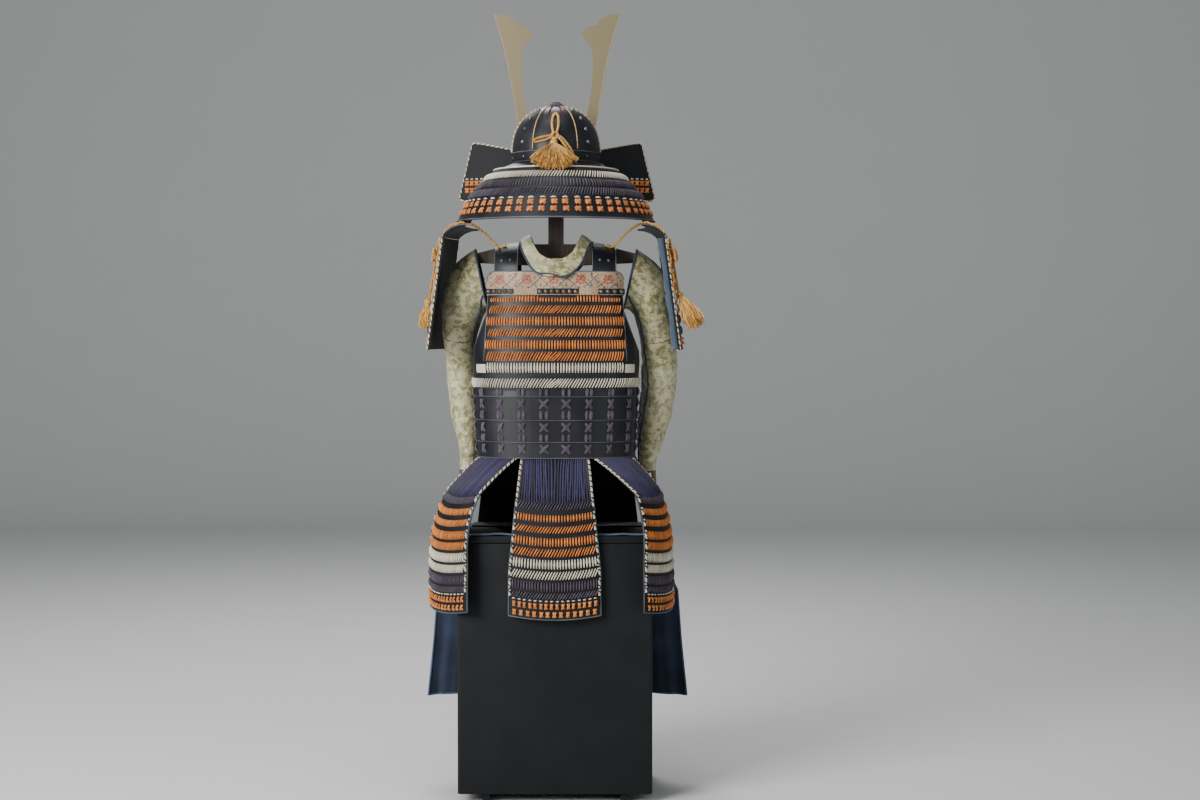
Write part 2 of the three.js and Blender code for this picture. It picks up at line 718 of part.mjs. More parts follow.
/** Cord from a shoulder strap over the guard's top plate and along its rear edge. */
function guardCord(turn) {
  const radius = 3;
  const held = [116, 134].map((x) => strapPoint(x, 62, radius + SEAM * 2));
  const top = GUARD_TOP[0];
  const shift = (along) => turn * along - GUARD.bow * along ** 2;
  const lift = radius + SEAM + 0.4;
  const over = [
    { along: 0.5, row: 0 },
    { along: 0.72, row: 1 },
    { along: 0.86, row: 2 },
  ].map(({ along, row }) => [
    GUARD_TOP[row].x + shift(along) + lift * 0.5,
    GUARD.halfLength * 0.94 * along,
    GUARD_TOP[row].z + lift + row * 0.9,
  ]);
  return cordGeometry(
    [...held.map((point) => point.toArray()), [168, 56, 1320], [top.x - 18, 60, top.z + 2], ...over],
    radius,
    16,
    6,
  );
}

/** Cord loops, knot and tassel on the outside of a shoulder guard. */
function guardTassel(turn, { drop, length, spread, rows, perRow, reach }) {
  const surface = guardPoint(turn);
  const clear = LACE + SEAM + 2;
  const at = (along, down, out) => surface(along, down, clear + out).toArray();
  const loops = [
    [at(0.72, 8, 0), at(0.74, 30, 1), at(0.76, 50, 2), at(0.78, drop, 5)],
    [at(0.76, 50, 3), at(0.66, 34, 9), at(0.64, 58, 10), at(0.77, 56, 4)],
    [at(0.78, 50, 3), at(0.88, 32, 9), at(0.9, 60, 10), at(0.79, 57, 4)],
  ];
  const cords = loops.map((points) => cordGeometry(points, 2.6, 8, 5));
  const knot = surface(0.78, drop, clear + 7);
  const head = tassel({
    x: knot.x, y: knot.y, z: knot.z, head: 8, length, spread, rows, perRow, lean: 4, radius: 1.4,
  });
  const turnedHead = head.translate(-knot.x, -knot.y, -knot.z).rotateZ(rad(-90));
  turnedHead.rotateY(rad(-reach)).translate(knot.x, knot.y, knot.z);
  return joined([...cords, turnedHead]);
}

/** Sleeve on the wearer's left: a cloth tube, open at the shoulder and the wrist. */
function sleeve(table) {
  const ringAt = (row, inset) => {
    const heading = new THREE.Vector3(Math.cos(rad(row.heading)), 0, -Math.sin(rad(row.heading)));
    const side = new THREE.Vector3(0, 1, 0);
    const up = new THREE.Vector3().crossVectors(side, heading);
    const centre = new THREE.Vector3(row.x, row.y, row.z);
    return spaced(0, 360, SLEEVE_SIDES)
      .slice(0, -1)
      .map((turn) =>
        centre
          .clone()
          .addScaledVector(up, (row.across - inset) * Math.cos(rad(turn)))
          .addScaledVector(side, (row.along - inset) * Math.sin(rad(turn))),
      );
  };
  const outer = table.map((row) => ringAt(row, 0));
  const inner = [...table].reverse().map((row) => ringAt(row, SLEEVE_WALL));
  return loft([...outer, ...inner], true);
}

/** Small curved plate over the back of the hand, hung from the sleeve's cuff. */
function handGuard(table) {
  const cuff = table.at(-1);
  const section = () => [
    [0, 0],
    [HAND_GUARD.length * 0.6, 3],
    [HAND_GUARD.length, 1],
    [HAND_GUARD.length, 1 - HAND_GUARD.thickness],
    [HAND_GUARD.length * 0.6, 3 - HAND_GUARD.thickness],
    [0, -HAND_GUARD.thickness],
  ];
  const surface = (turn, down, out) => {
    const taper = 1 - 0.35 * (down / HAND_GUARD.length) ** 2;
    const side = Math.cos(rad(turn * taper));
    return new THREE.Vector3(
      cuff.x + (cuff.across + out) * side,
      cuff.y + (cuff.along + out) * Math.sin(rad(turn * taper)),
      cuff.z + cuff.across * Math.cos(rad(cuff.heading)) * side - SEAM * 1.5 - down,
    );
  };
  return sheet(spaced(-58, 58, 6), section, surface);
}

/** Tasset: laces that spread from the waist, then plates with raised lacing rows. */
function tasset(row) {
  const facing = rad(row.facing);
  const out = new THREE.Vector2(Math.sin(facing), Math.cos(facing));
  const side = new THREE.Vector2(Math.cos(facing), -Math.sin(facing));
  const rowsPoint = (across, down, offset) => {
    const share = down / TASSET_LENGTH;
    const spread = across * row.half * lerp(TASSET.topShare, 1, Math.min(share * 1.6, 1));
    const settle = 1 - (1 - share) ** 4;
    const bulge = offset - spread ** 2 / (2 * row.arc);
    return new THREE.Vector3(
      lerp(row.x, row.hemX, settle) + side.x * spread + out.x * bulge,
      lerp(row.y, row.hemY, settle) + side.y * spread + out.y * bulge,
      row.top - down + TASSET.smile * across ** 2,
    );
  };
  const surface = (across, down, offset) => {
    if (down >= 0) {
      return rowsPoint(across, down, offset);
    }
    const share = 1 + down / TASSET.laceLength;
    const angle = lerp(row.from, row.to, (across + 1) / 2);
    const start = bodyPoint(angle, TASSET_WAIST, offset);
    const end = rowsPoint(across, 0, offset);
    const point = start.lerp(end, share);
    point.z = lerp(TASSET_WAIST, end.z, share ** 1.15);
    return point;
  };
  const laces = [-TASSET.laceLength, -TASSET.laceLength * 0.5];
  const rows = TASSET_ROWS.flatMap(({ top, bottom }) => [
    [top, 0],
    [top + EASE, LACE],
    [bottom - EASE, LACE],
  ]);
  const section = () => [
    ...laces.map((down) => [down, 0]),
    ...rows,
    [TASSET_LENGTH, 0],
    [TASSET_LENGTH, -TASSET.plate],
    [TASSET_LENGTH * 0.3, -TASSET.plate],
    [0, -TASSET.plate],
    ...[...laces].reverse().map((down) => [down, -TASSET.plate]),
  ];
  return sheet(spaced(-1, 1, 4), section, surface);
}

/** Yoke of the thigh guard: lies on the chest and bends down over its front edge. */
function apronYoke() {
  const front = -CHEST.depth / 2 - LID.overhang - SEAM;
  const top = CHEST.top + SEAM;
  const loop = [
    [-APRON.yokeBack, top],
    [front, top],
    [front, APRON.fold],
    [front - APRON.thickness, APRON.fold],
    [front - APRON.thickness, top],
    [front, top + APRON.thickness],
    [-APRON.yokeBack, top + APRON.thickness],
  ];
  const ring = (x) => loop.map(([y, z]) => new THREE.Vector3(x, y, z));
  return loft(spaced(-APRON.yokeHalf, APRON.yokeHalf, 2).map(ring));
}

/** Thigh guard panel on the wearer's left, with soft folds that deepen to the hem. */
function apronPanel() {
  const top = APRON.fold - SEAM;
  const front = CHEST.depth / 2 + LID.overhang + SEAM;
  const surface = (share, z, out) => {
    const edge = lookUp(APRON_EDGE, "z", z, "x");
    const drop = (top - z) / (top - APRON.hem);
    const x = lerp(APRON.split, edge, share);
    const fold = 7 * drop * (1 - Math.cos(rad(share * 360 * 2.5)));
    const swing = lookUp(APRON_EDGE, "z", z, "back") * Math.max(0, (share - 0.76) / 0.24) ** 1.3;
    return new THREE.Vector3(x, -front - fold + swing - out, z);
  };
  const levels = [top, 495, 400, 290, APRON.hem];
  const section = () => [
    ...levels.map((z) => [z, APRON.thickness]),
    ...[...levels].reverse().map((z) => [z, 0]),
  ];
  return sheet(spaced(0, 1, 18), section, surface);
}

/** Stand inside the armour: a post with sloping arms under the shoulder straps. */
function standFrame() {
  const half = STAND.width / 2;
  const bottom = CHEST.top + SEAM;
  const neck = HEAD_BLOCK.top - HEAD_BLOCK.height;
  const under = TOP_PLATE.top + STRAP.rise - STRAP.thickness - 2;
  const strapEdge = under - (STRAP.outer - STRAP.inner) * STRAP.slope;
  const arms = [
    [half, under],
    [STRAP.inner, under],
    [STRAP.outer, strapEdge],
    [STAND.armReach, STAND.armEnd],
    [STAND.armReach, STAND.armEnd - STAND.armTip],
    [half, under - STAND.armDrop],
  ];
  const right = [[half, neck], ...arms, [half, bottom]];
  const left = [...right].reverse().map(([x, z]) => [-x, z]);
  const shape = new THREE.Shape([...right, ...left].map(([x, z]) => new THREE.Vector2(x, z)));
  return plate(shape, STAND.depth).rotateX(rad(90)).translate(0, STAND.depth / 2, 0);
}

/** Rounded block on top of the post, just below the bowl's crown. */
function headBlock() {
  const { radius, rim, top } = HEAD_BLOCK;
  const bottom = top - HEAD_BLOCK.height + SEAM;
  const dome = spaced(0, 90, 4).map((turn) => [
    radius * Math.cos(rad(turn)) ** 0.8,
    lerp(bottom + rim, top, Math.sin(rad(turn))),
  ]);
  dome[dome.length - 1][0] = 0;
  return turned([[0, bottom], [radius, bottom], ...dome], 0, HELMET_Y, 16);
}

/** Small domed finial that stands in the crown's hole and rests on its edge. */
function finial() {
  const seat = BOWL.base + SEAM + bowlHeight(BOWL.hole) + SEAM;
  return turned(
    [
      [0, seat - 2],
      [BOWL.hole - 2, seat - 2],
      [BOWL.hole - 2, seat],
      [19, seat],
      [20, seat + 3],
      [13, seat + 8],
      [9, seat + 9],
      [7, seat + 14],
      [0, seat + 15],
    ],
    0,
    HELMET_Y,
    14,
  );
}

const armour = new THREE.Group();

/** Adds one named piece in one of the part's colours. */
function add(name, colour, geometry) {
  const [color, roughness, metalness] = COLOURS[colour];
  const material = new THREE.MeshStandardMaterial({ color, roughness, metalness });
  const mesh = new THREE.Mesh(geometry, material);
  mesh.name = name;
  armour.add(mesh);
}

/** Adds a piece for the wearer's left and its mirror image for the right. */
function addPair(name, colour, geometry) {
  add(name + "_left", colour, geometry);
  add(name + "_right", colour, mirrored(geometry));
}

// Chest and stand
const lidBottom = CHEST.top - LID.height;
const lidGrowth = 2 * LID.overhang;
add("chest_body", "chest", slab(CHEST.width, CHEST.depth, CHEST.bottom, lidBottom - SEAM, CHEST.corner));
add(
  "chest_lid",
  "chest",
  slab(CHEST.width + lidGrowth, CHEST.depth + lidGrowth, lidBottom, CHEST.top, CHEST.corner),
);
const runnerInner = RUNNER.spacing / 2 - RUNNER.width / 2;
addPair(
  "chest_runner",
  "chest",
  block(
    [runnerInner, -RUNNER.length / 2, 0],
    [runnerInner + RUNNER.width, RUNNER.length / 2, CHEST.bottom - SEAM],
  ),
);
add("stand_frame", "stand", standFrame());
add("stand_head_block", "stand", headBlock());

// Helmet
add("helmet_bowl", "lacquer", helmetBowl());
add("helmet_finial", "brass", finial());
add("helmet_band", "lacquer", helmetBand());
for (const lame of NECK_LAMES) {
  add(lame.name, "lacquer", helmetPlate(lame, 0, NECK_SPREAD, 20));
}
const visorPlate = {
  topWidth: VISOR.inner, top: VISOR.top, bottomWidth: VISOR.outer, bottom: VISOR.bottom, row: false,
};
add("helmet_visor", "lacquer", helmetPlate(visorPlate, 180, VISOR.halfSpread, 12));
addPair("helmet_turnback", "lacquer", turnback());
add("horn_mount", "brass", block([-80, HORN.y + HORN.thickness + SEAM, 1490], [80, -124.5 + SEAM, 1526]));
addPair("horn", "brass", horn());
add("helmet_bow", "gold", rearBow());
add(
  "helmet_tassel",
  "gold",
  tassel({
    x: 2, y: 114.2, z: 1524.2, head: 9, length: 51, spread: 62, rows: 3, perRow: 11, lean: 37, radius: 2,
  }),
);

// Body
add("waist_back", "lacquer", waistHalf(0));
add("waist_front", "lacquer", waistHalf(180));
add("back_plate", "orange", lacedPlate(0));
add("front_plate", "orange", lacedPlate(180));
addPair("side_wing", "lacquer", sideWing());
add("back_top_plate", "leather", topPlate(0));
add("front_top_plate", "leather", topPlate(180));
addPair("shoulder_strap", "lacquer", strap());
add("neck_collar", "brocade", neckCollar());

// Arms
add("sleeve_left", "brocade", sleeve(SLEEVES.left));
add("sleeve_right", "brocade", mirrored(sleeve(SLEEVES.right)));
add("hand_guard_left", "leather", handGuard(SLEEVES.left));
add("hand_guard_right", "leather", mirrored(handGuard(SLEEVES.right)));
const guardTurn = { left: 8, right: 3 };
const guardTassels = {
  left: { drop: 158, length: 62, spread: 18, rows: 2, perRow: 5, reach: 4 },
  right: { drop: 136, length: 84, spread: 34, rows: 2, perRow: 8, reach: 25 },
};
for (const side of ["left", "right"]) {
  const turn = guardTurn[side];
  const placed = side === "left" ? (geometry) => geometry : mirrored;
  add("shoulder_guard_" + side, "orange", placed(shoulderGuard(turn)));
  add("guard_top_" + side, "lacquer", placed(guardTop(turn)));
  add("guard_cord_" + side, "gold", placed(guardCord(turn)));
  add("guard_tassel_" + side, "gold", placed(guardTassel(turn, guardTassels[side])));
}

// Skirt
for (const row of TASSETS) {
  add(row.name, "orange", tasset(row));
}
add("thigh_guard_yoke", "navy", apronYoke());
addPair("thigh_guard", "navy", apronPanel());

export default armour;
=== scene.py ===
"""Looks of a samurai armour on its display chest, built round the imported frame.

Sizes are in millimetres in the classes below and become metres when a mesh is made.
The armour's back faces +Y, the wearer's left is +X, and +Z is up. Angles in plan are
degrees from the rear towards the wearer's left.
"""

import logging
from abc import ABC, abstractmethod
from dataclasses import dataclass, field, replace
from enum import Enum
from typing import Callable, Sequence

import bmesh
import bpy
import numpy as np
from mathutils import Matrix, Vector


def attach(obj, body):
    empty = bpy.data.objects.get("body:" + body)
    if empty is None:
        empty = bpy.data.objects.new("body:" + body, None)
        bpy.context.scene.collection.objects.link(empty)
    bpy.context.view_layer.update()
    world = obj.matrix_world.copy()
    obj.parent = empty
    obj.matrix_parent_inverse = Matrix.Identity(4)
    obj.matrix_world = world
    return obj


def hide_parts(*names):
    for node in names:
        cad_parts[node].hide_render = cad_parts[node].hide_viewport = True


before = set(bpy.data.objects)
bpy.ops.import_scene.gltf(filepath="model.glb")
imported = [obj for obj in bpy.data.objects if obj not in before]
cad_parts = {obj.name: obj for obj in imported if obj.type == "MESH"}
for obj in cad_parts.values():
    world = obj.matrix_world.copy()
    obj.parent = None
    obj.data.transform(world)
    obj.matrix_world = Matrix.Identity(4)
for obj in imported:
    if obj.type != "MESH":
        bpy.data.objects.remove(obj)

Array = np.ndarray
Colour = tuple[float, float, float]
Socket = bpy.types.NodeSocket
Table = Sequence[Sequence[float]]
Relief = Callable[[Array, Array], Array]
Places = Array | float

LOG = logging.getLogger("armour")
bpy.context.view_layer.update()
MM = 0.001
BODY = "root"
HARD_EDGE = 42
SIDES = ((1, "left"), (-1, "right"))
DICE = np.random.RandomState(11)


# Finishes


class Shader:
    """Adds nodes to one new material."""

    def __init__(self, name: str) -> None:
        """Starts a material with its usual surface shader.

        Args:
            name: the material's name.
        """
        self.material = bpy.data.materials.new(name)
        self.material.use_nodes = True
        self.tree = self.material.node_tree
        self.surface = self.tree.nodes["Principled BSDF"]
        self.place = self.tree.nodes.new("ShaderNodeTexCoord").outputs["Object"]

    def add(self, kind: str, inputs: dict[str | int, object], **settings: object) -> bpy.types.Node:
        """Adds a node.

        Args:
            kind: the node's type without its common start.
            inputs: values or sockets for its inputs.
            **settings: the node's own settings.

        Returns:
            The node.
        """
        node = self.tree.nodes.new("ShaderNode" + kind)
        for key, value in settings.items():
            setattr(node, key, value)
        for key, value in inputs.items():
            if isinstance(value, Socket):
                self.tree.links.new(value, node.inputs[key])
            else:
                node.inputs[key].default_value = value
        return node

    def stretched(self, scale: Sequence[float]) -> Socket:
        """The place on the object, scaled by an amount for each axis."""
        return self.add("Mapping", {"Vector": self.place, "Scale": tuple(scale)}).outputs[0]

    def noise(self, scale: float, detail: float = 3.0, place: Socket | None = None) -> Socket:
        """Soft noise from 0 to 1 with features of about 1/scale metres."""
        inputs = {"Vector": place or self.place, "Scale": scale, "Detail": detail}
        return self.add("TexNoise", inputs).outputs["Fac"]

    def waves(self, scale: float, direction: str, distortion: float = 0.0) -> Socket:
        """Bands across one axis, or across a diagonal."""
        inputs = {"Vector": self.place, "Scale": scale, "Distortion": distortion}
        return self.add("TexWave", inputs, bands_direction=direction).outputs["Fac"]

    def spread(self, value: Socket, low: float, high: float, start: float = 0, end: float = 1) -> Socket:
        """Maps low to start and high to end, and holds both beyond."""
        inputs = {0: value, 1: low, 2: high, 3: start, 4: end}
        return self.add("MapRange", inputs).outputs[0]

    def sum(self, operation: str, first: Socket | float, second: Socket | float) -> Socket:
        """One arithmetic step on two values."""
        return self.add("Math", {0: first, 1: second}, operation=operation).outputs[0]

    def mix(self, first: Socket, second: Socket, share: float) -> Socket:
        """A share of the first value and the rest of the second."""
        parts = [self.sum("MULTIPLY", first, share), self.sum("MULTIPLY", second, 1 - share)]
        return self.sum("ADD", *parts)

    def blend(self, share: Socket, first: Colour | Socket, second: Colour | Socket) -> Socket:
        """Mixes two colours.

        Args:
            share: 0 gives the first colour and 1 the second.
            first: a colour or a socket.
            second: a colour or a socket.

        Returns:
            The mixed colour.
        """
        values = [v if isinstance(v, Socket) else (*v, 1.0) for v in (first, second)]
        node = self.add("Mix", {0: share, 6: values[0], 7: values[1]}, data_type="RGBA")
        return node.outputs[2]

    def relief(self, height: Socket, strength: float, depth: float, under: Socket | None = None) -> Socket:
        """Bump from a height, on top of another bump if one is given."""
        inputs = {"Height": height, "Strength": strength, "Distance": depth}
        if under is not None:
            inputs["Normal"] = under
        return self.add("Bump", inputs).outputs[0]

    def set(self, **inputs: object) -> bpy.types.Material:
        """Sets the surface shader's sockets, named with underscores for spaces.

        Returns:
            The finished material.
        """
        for key, value in inputs.items():
            socket = self.surface.inputs[key.replace("_", " ")]
            if isinstance(value, Socket):
                self.tree.links.new(value, socket)
            elif socket.type == "RGBA":
                socket.default_value = (*value, 1.0)
            else:
                socket.default_value = value
        return self.material


@dataclass(frozen=True)
class Finish(ABC):
    """A surface finish that any number of pieces share."""

    name: str
    slot: str

    @abstractmethod
    def shade(self, shader: Shader) -> bpy.types.Material:
        """Builds the nodes of this finish."""

    def material(self) -> bpy.types.Material:
        """The finish's one material, made when it is first wanted."""
        return bpy.data.materials.get(self.name) or self.shade(Shader(self.name))

    def tones(self) -> list["Finish"]:
        """The finish in each of the tones that its pieces mix."""
        return [self]


@dataclass(frozen=True)
class Lacquer(Finish):
    """Lacquer over iron, leather or wood, with a soft sheen and rubbed places."""

    colour: Colour = (0.006, 0.0065, 0.009)
    rubbed: Colour = (0.014, 0.015, 0.019)
    roughness: float = 0.44
    coat: float = 0.06
    waviness: float = 0.25
    gloss: float = 0.32

    def shade(self, shader: Shader) -> bpy.types.Material:
        """Dark ground with broad cloudy wear, fine brush lines and small pits."""
        clouds = shader.noise(14.0, 5.0)
        fine = shader.noise(420.0, 2.0)
        pits = shader.noise(1500.0, 1.0)
        colour = shader.blend(shader.spread(clouds, 0.42, 0.72), self.colour, self.rubbed)
        rough = shader.spread(
            shader.sum("ADD", clouds, shader.sum("MULTIPLY", fine, 0.4)),
            0.4, 0.95, self.roughness - 0.06, self.roughness + 0.12,
        )
        broad = shader.relief(shader.noise(26.0, 2.0), self.waviness, 0.0008)
        bump = shader.relief(pits, 0.12, 0.0002, broad)
        return shader.set(
            Base_Color=colour, Roughness=rough, Normal=bump, Specular_IOR_Level=self.gloss,
            Coat_Weight=self.coat, Coat_Roughness=0.3,
        )


@dataclass(frozen=True)
class Silk(Finish):
    """Flat braided silk: each lace a little lighter or darker, with its braid in relief."""

    light: Colour = (0.7, 0.2, 0.03)
    dark: Colour = (0.42, 0.1, 0.015)
    braid: float = 420.0
    sheen: float = 0.3
    variety: float = 0.2
    shift: Colour = (1.0, 1.0, 1.0)

    def tones(self) -> list["Finish"]:
        """A middle, a lighter and a darker silk, each a little shifted in hue."""
        mixed = [self]
        for name, amount in (("_light", self.variety), ("_dark", -self.variety)):
            tint = [(1 + amount) * hue ** (1 if amount > 0 else -1) for hue in self.shift]
            light, dark = (
                tuple(min(c * t, 1.0) for c, t in zip(base, tint)) for base in (self.light, self.dark)
            )
            mixed.append(replace(self, name=self.name + name, light=light, dark=dark))
        return mixed

    def shade(self, shader: Shader) -> bpy.types.Material:
        """Colour that changes from lace to lace, crossed by the fine herringbone of a braid, with painted
        shade darkening the braid's grooves.
        """
        laces = shader.noise(150.0, 1.0)
        faded = shader.noise(9.0, 3.0)
        rising = shader.waves(self.braid, "DIAGONAL", 1.2)
        level = shader.waves(self.braid * 1.3, "Z", 2.0)
        braid = shader.sum("MULTIPLY", rising, level)
        mixed = shader.mix(laces, faded, 0.65)
        base = shader.blend(shader.spread(mixed, 0.36, 0.64), self.dark, self.light)
        # Painted shade: the low places of the braid's relief are darkened towards a deeper tone of the dark
        # silk.
        colour = shader.blend(shader.spread(braid, 0.0, 0.45), tuple(c * 0.62 for c in self.dark), base)
        bump = shader.relief(braid, 0.45, 0.0006)
        return shader.set(
            Base_Color=colour, Roughness=0.72, Normal=bump, Sheen_Weight=self.sheen,
            Sheen_Roughness=0.45, Specular_IOR_Level=0.3,
        )


@dataclass(frozen=True)
class Metal(Finish):
    """Brushed or aged metal."""

    colour: Colour = (0.56, 0.47, 0.27)
    patina: Colour = (0.34, 0.27, 0.15)
    roughness: float = 0.42
    metallic: float = 0.85

    def shade(self, shader: Shader) -> bpy.types.Material:
        """Bright metal with stained patches and long fine brush marks."""
        stains = shader.noise(32.0, 6.0)
        brushed = shader.noise(260.0, 2.0, shader.stretched((1.0, 1.0, 0.06)))
        colour = shader.blend(shader.spread(stains, 0.42, 0.7), self.colour, self.patina)
        rough = shader.spread(stains, 0.3, 0.8, self.roughness - 0.08, self.roughness + 0.18)
        bump = shader.relief(brushed, 0.18, 0.0003)
        return shader.set(Base_Color=colour, Roughness=rough, Normal=bump, Metallic=self.metallic)


@dataclass(frozen=True)
class Brocade(Finish):
    """Gold-green figured silk: a mottled ground with olive sprigs and a metallic thread."""

    ground: Colour = (0.5, 0.47, 0.26)
    thread: Colour = (0.72, 0.68, 0.46)
    figure: Colour = (0.17, 0.155, 0.05)

    def shade(self, shader: Shader) -> bpy.types.Material:
        """Scattered sprigs over a ribbed ground, worn unevenly."""
        sprigs = shader.noise(78.0, 2.5)
        torn = shader.noise(240.0, 4.0)
        mixed = shader.mix(sprigs, torn, 0.62)
        figure = shader.spread(mixed, 0.485, 0.54)
        worn = shader.spread(shader.noise(11.0, 3.0), 0.4, 0.62)
        weft = shader.waves(520.0, "Z", 0.6)
        warp = shader.waves(520.0, "X", 0.6)
        ribs = shader.spread(shader.sum("MULTIPLY", weft, worn), 0.1, 0.8)
        ground = shader.blend(ribs, self.ground, self.thread)
        share = shader.sum("MULTIPLY", figure, shader.spread(worn, 0, 1, 0.88, 0.5))
        colour = shader.blend(share, ground, self.figure)
        weave = shader.relief(shader.sum("ADD", weft, warp), 0.3, 0.0004)
        bump = shader.relief(figure, 0.35, 0.0006, weave)
        return shader.set(
            Base_Color=colour, Normal=bump, Metallic=0.18, Sheen_Weight=0.25, Sheen_Roughness=0.5,
            Roughness=shader.spread(worn, 0, 1, 0.62, 0.48),
        )


@dataclass(frozen=True)
class Cloth(Finish):
    """Plain woven cloth with a soft nap."""

    light: Colour = (0.022, 0.036, 0.075)
    dark: Colour = (0.009, 0.015, 0.034)
    threads: float = 700.0
    roughness: float = 0.85
    sheen: float = 0.3

    def shade(self, shader: Shader) -> bpy.types.Material:
        """Crossed threads, with painted light on the raised threads and swells and painted shade in the
        hollows between them.
        """
        cloudy = shader.noise(16.0, 5.0)
        weft = shader.waves(self.threads, "Z", 1.0)
        warp = shader.waves(self.threads, "X", 1.0)
        weave = shader.sum("MAXIMUM", weft, warp)
        tone = shader.mix(cloudy, weave, 0.8)
        # Painted light and shade: the cloudy swells and threads that make the relief also lighten the colour
        # where they stand high and darken it where they sink.
        colour = shader.blend(shader.spread(tone, 0.4, 0.75), self.dark, self.light)
        bump = shader.relief(weave, 0.35, 0.0004, shader.relief(cloudy, 0.2, 0.002))
        return shader.set(
            Base_Color=colour, Roughness=self.roughness, Normal=bump,
            Sheen_Weight=self.sheen, Sheen_Roughness=0.4,
        )


@dataclass(frozen=True)
class Leather(Finish):
    """Tanned or smoked leather with a fine grain."""

    light: Colour = (0.55, 0.4, 0.235)
    dark: Colour = (0.36, 0.235, 0.12)
    roughness: float = 0.58
    speckle: Colour = (0.1, 0.09, 0.1)
    speckled: float = 0.0

    def shade(self, shader: Shader) -> bpy.types.Material:
        """Grain cells in relief, uneven tan, and a printed speckle where asked."""
        tan = shader.noise(22.0, 5.0)
        grain = shader.add("TexVoronoi", {"Vector": shader.place, "Scale": 700.0}).outputs[0]
        colour = shader.blend(shader.spread(tan, 0.35, 0.7), self.light, self.dark)
        dots = shader.spread(shader.noise(330.0, 2.0), 0.56, 0.63, 0, self.speckled)
        colour = shader.blend(dots, colour, self.speckle)
        bump = shader.relief(grain, 0.25, 0.0005)
        return shader.set(Base_Color=colour, Roughness=self.roughness, Normal=bump)


@dataclass(frozen=True)
class Wood(Finish):
    """Dark stained wood, its grain running up."""

    light: Colour = (0.07, 0.045, 0.03)
    dark: Colour = (0.025, 0.017, 0.012)

    def shade(self, shader: Shader) -> bpy.types.Material:
        """Long wavering grain lines."""
        grain = shader.noise(90.0, 5.0, shader.stretched((1.0, 1.0, 0.05)))
        colour = shader.blend(shader.spread(grain, 0.35, 0.7), self.dark, self.light)
        return shader.set(Base_Color=colour, Roughness=0.6, Normal=shader.relief(grain, 0.2, 0.0006))


class Finishes:
    """All finishes of the armour, its stand and its chest."""

    black = Lacquer("black_lacquer_plates", "black_lacquer")
    inner_black = Lacquer(
        "dull_black_lining", "black_lacquer", (0.005, 0.0055, 0.007), (0.01, 0.0105, 0.013),
        roughness=0.6, coat=0.0, waviness=0.4, gloss=0.25,
    )
    # Grey lacquer for piped edges; on the waist's tier edges its grey lines are painted highlights.
    edge = Lacquer(
        "grey_piped_edge_and_highlight", "black_lacquer", (0.06, 0.066, 0.08), (0.13, 0.137, 0.15), roughness=0.4,
    )
    chest = Lacquer(
        "chest_satin_lacquer", "chest_lacquer", (0.0045, 0.0058, 0.0068), (0.007, 0.0088, 0.0105),
        roughness=0.5, coat=0.0, waviness=0.05, gloss=0.22,
    )
    orange = Silk("orange_silk_lacing", "orange_lacing", (0.92, 0.33, 0.06), (0.68, 0.19, 0.028))
    white = Silk("white_silk_lacing", "white_lacing", (0.92, 0.87, 0.73), (0.74, 0.67, 0.5), variety=0.1)
    purple = Silk("purple_silk_lacing", "purple_lacing", (0.125, 0.1, 0.135), (0.062, 0.048, 0.07))
    violet = Silk(
        "violet_suspension_laces", "purple_lacing", (0.055, 0.047, 0.118), (0.028, 0.022, 0.058),
        variety=0.3, shift=(0.85, 0.95, 1.15),
    )
    dark_bead = Silk("dark_braid_stitches", "purple_lacing", (0.025, 0.04, 0.035), (0.01, 0.015, 0.015))
    gold = Silk(
        "gold_silk_cord", "gold_cord", (0.98, 0.6, 0.16), (0.62, 0.29, 0.045), braid=300.0, variety=0.3,
    )
    red = Silk("red_stitched_cord", "orange_lacing", (0.3, 0.04, 0.05), (0.12, 0.02, 0.04))
    brass = Metal("pale_brass", "pale_brass")
    stud = Metal("dark_domed_studs", "crown_fitting", (0.2, 0.18, 0.15), (0.07, 0.065, 0.06), roughness=0.4)
    rivet = Metal(
        "black_rivets", "black_lacquer", (0.17, 0.18, 0.2), (0.05, 0.05, 0.06), metallic=0.8, roughness=0.25,
    )
    crown = Metal("crown_fitting_metal", "crown_fitting", (0.2, 0.16, 0.2), (0.09, 0.06, 0.1))
    brocade = Brocade("gold_green_brocade", "brocade")
    piping = Cloth("blue_piping", "navy_cloth", (0.04, 0.066, 0.115), (0.017, 0.027, 0.055), threads=500.0)
    navy = Cloth("navy_thigh_cloth", "navy_cloth")
    # Lighter blue satin; on the chest's band it is also a painted highlight along the lid's rear edge.
    satin = Cloth("blue_satin_band", "navy_cloth", (0.07, 0.12, 0.22), (0.03, 0.055, 0.11), roughness=0.45)
    lining = Cloth(
        "steel_blue_lining", "navy_cloth", (0.055, 0.085, 0.125), (0.03, 0.05, 0.08), roughness=0.8,
    )
    backing = Cloth("whitish_inner_strip", "white_lacing", (0.5, 0.5, 0.47), (0.33, 0.33, 0.31))
    print = Leather(
        "printed_tan_leather", "printed_leather", (0.47, 0.33, 0.19), (0.3, 0.19, 0.1), speckled=0.8,
    )
    floret = Leather("printed_red_florets", "printed_leather", (0.5, 0.09, 0.035), (0.36, 0.06, 0.025))
    lozenge = Leather(
        "printed_blue_black_lozenges", "printed_leather", (0.06, 0.07, 0.1), (0.03, 0.035, 0.05),
    )
    brown = Leather("brown_hand_leather", "brown_leather", (0.2, 0.1, 0.04), (0.11, 0.05, 0.02))
    wood = Wood("dark_stained_wood", "stand_wood")


# Meshes


def unit(vectors: Array) -> Array:
    """Vectors of length one."""
    return vectors / np.maximum(np.linalg.norm(vectors, axis=-1, keepdims=True), 1e-9)


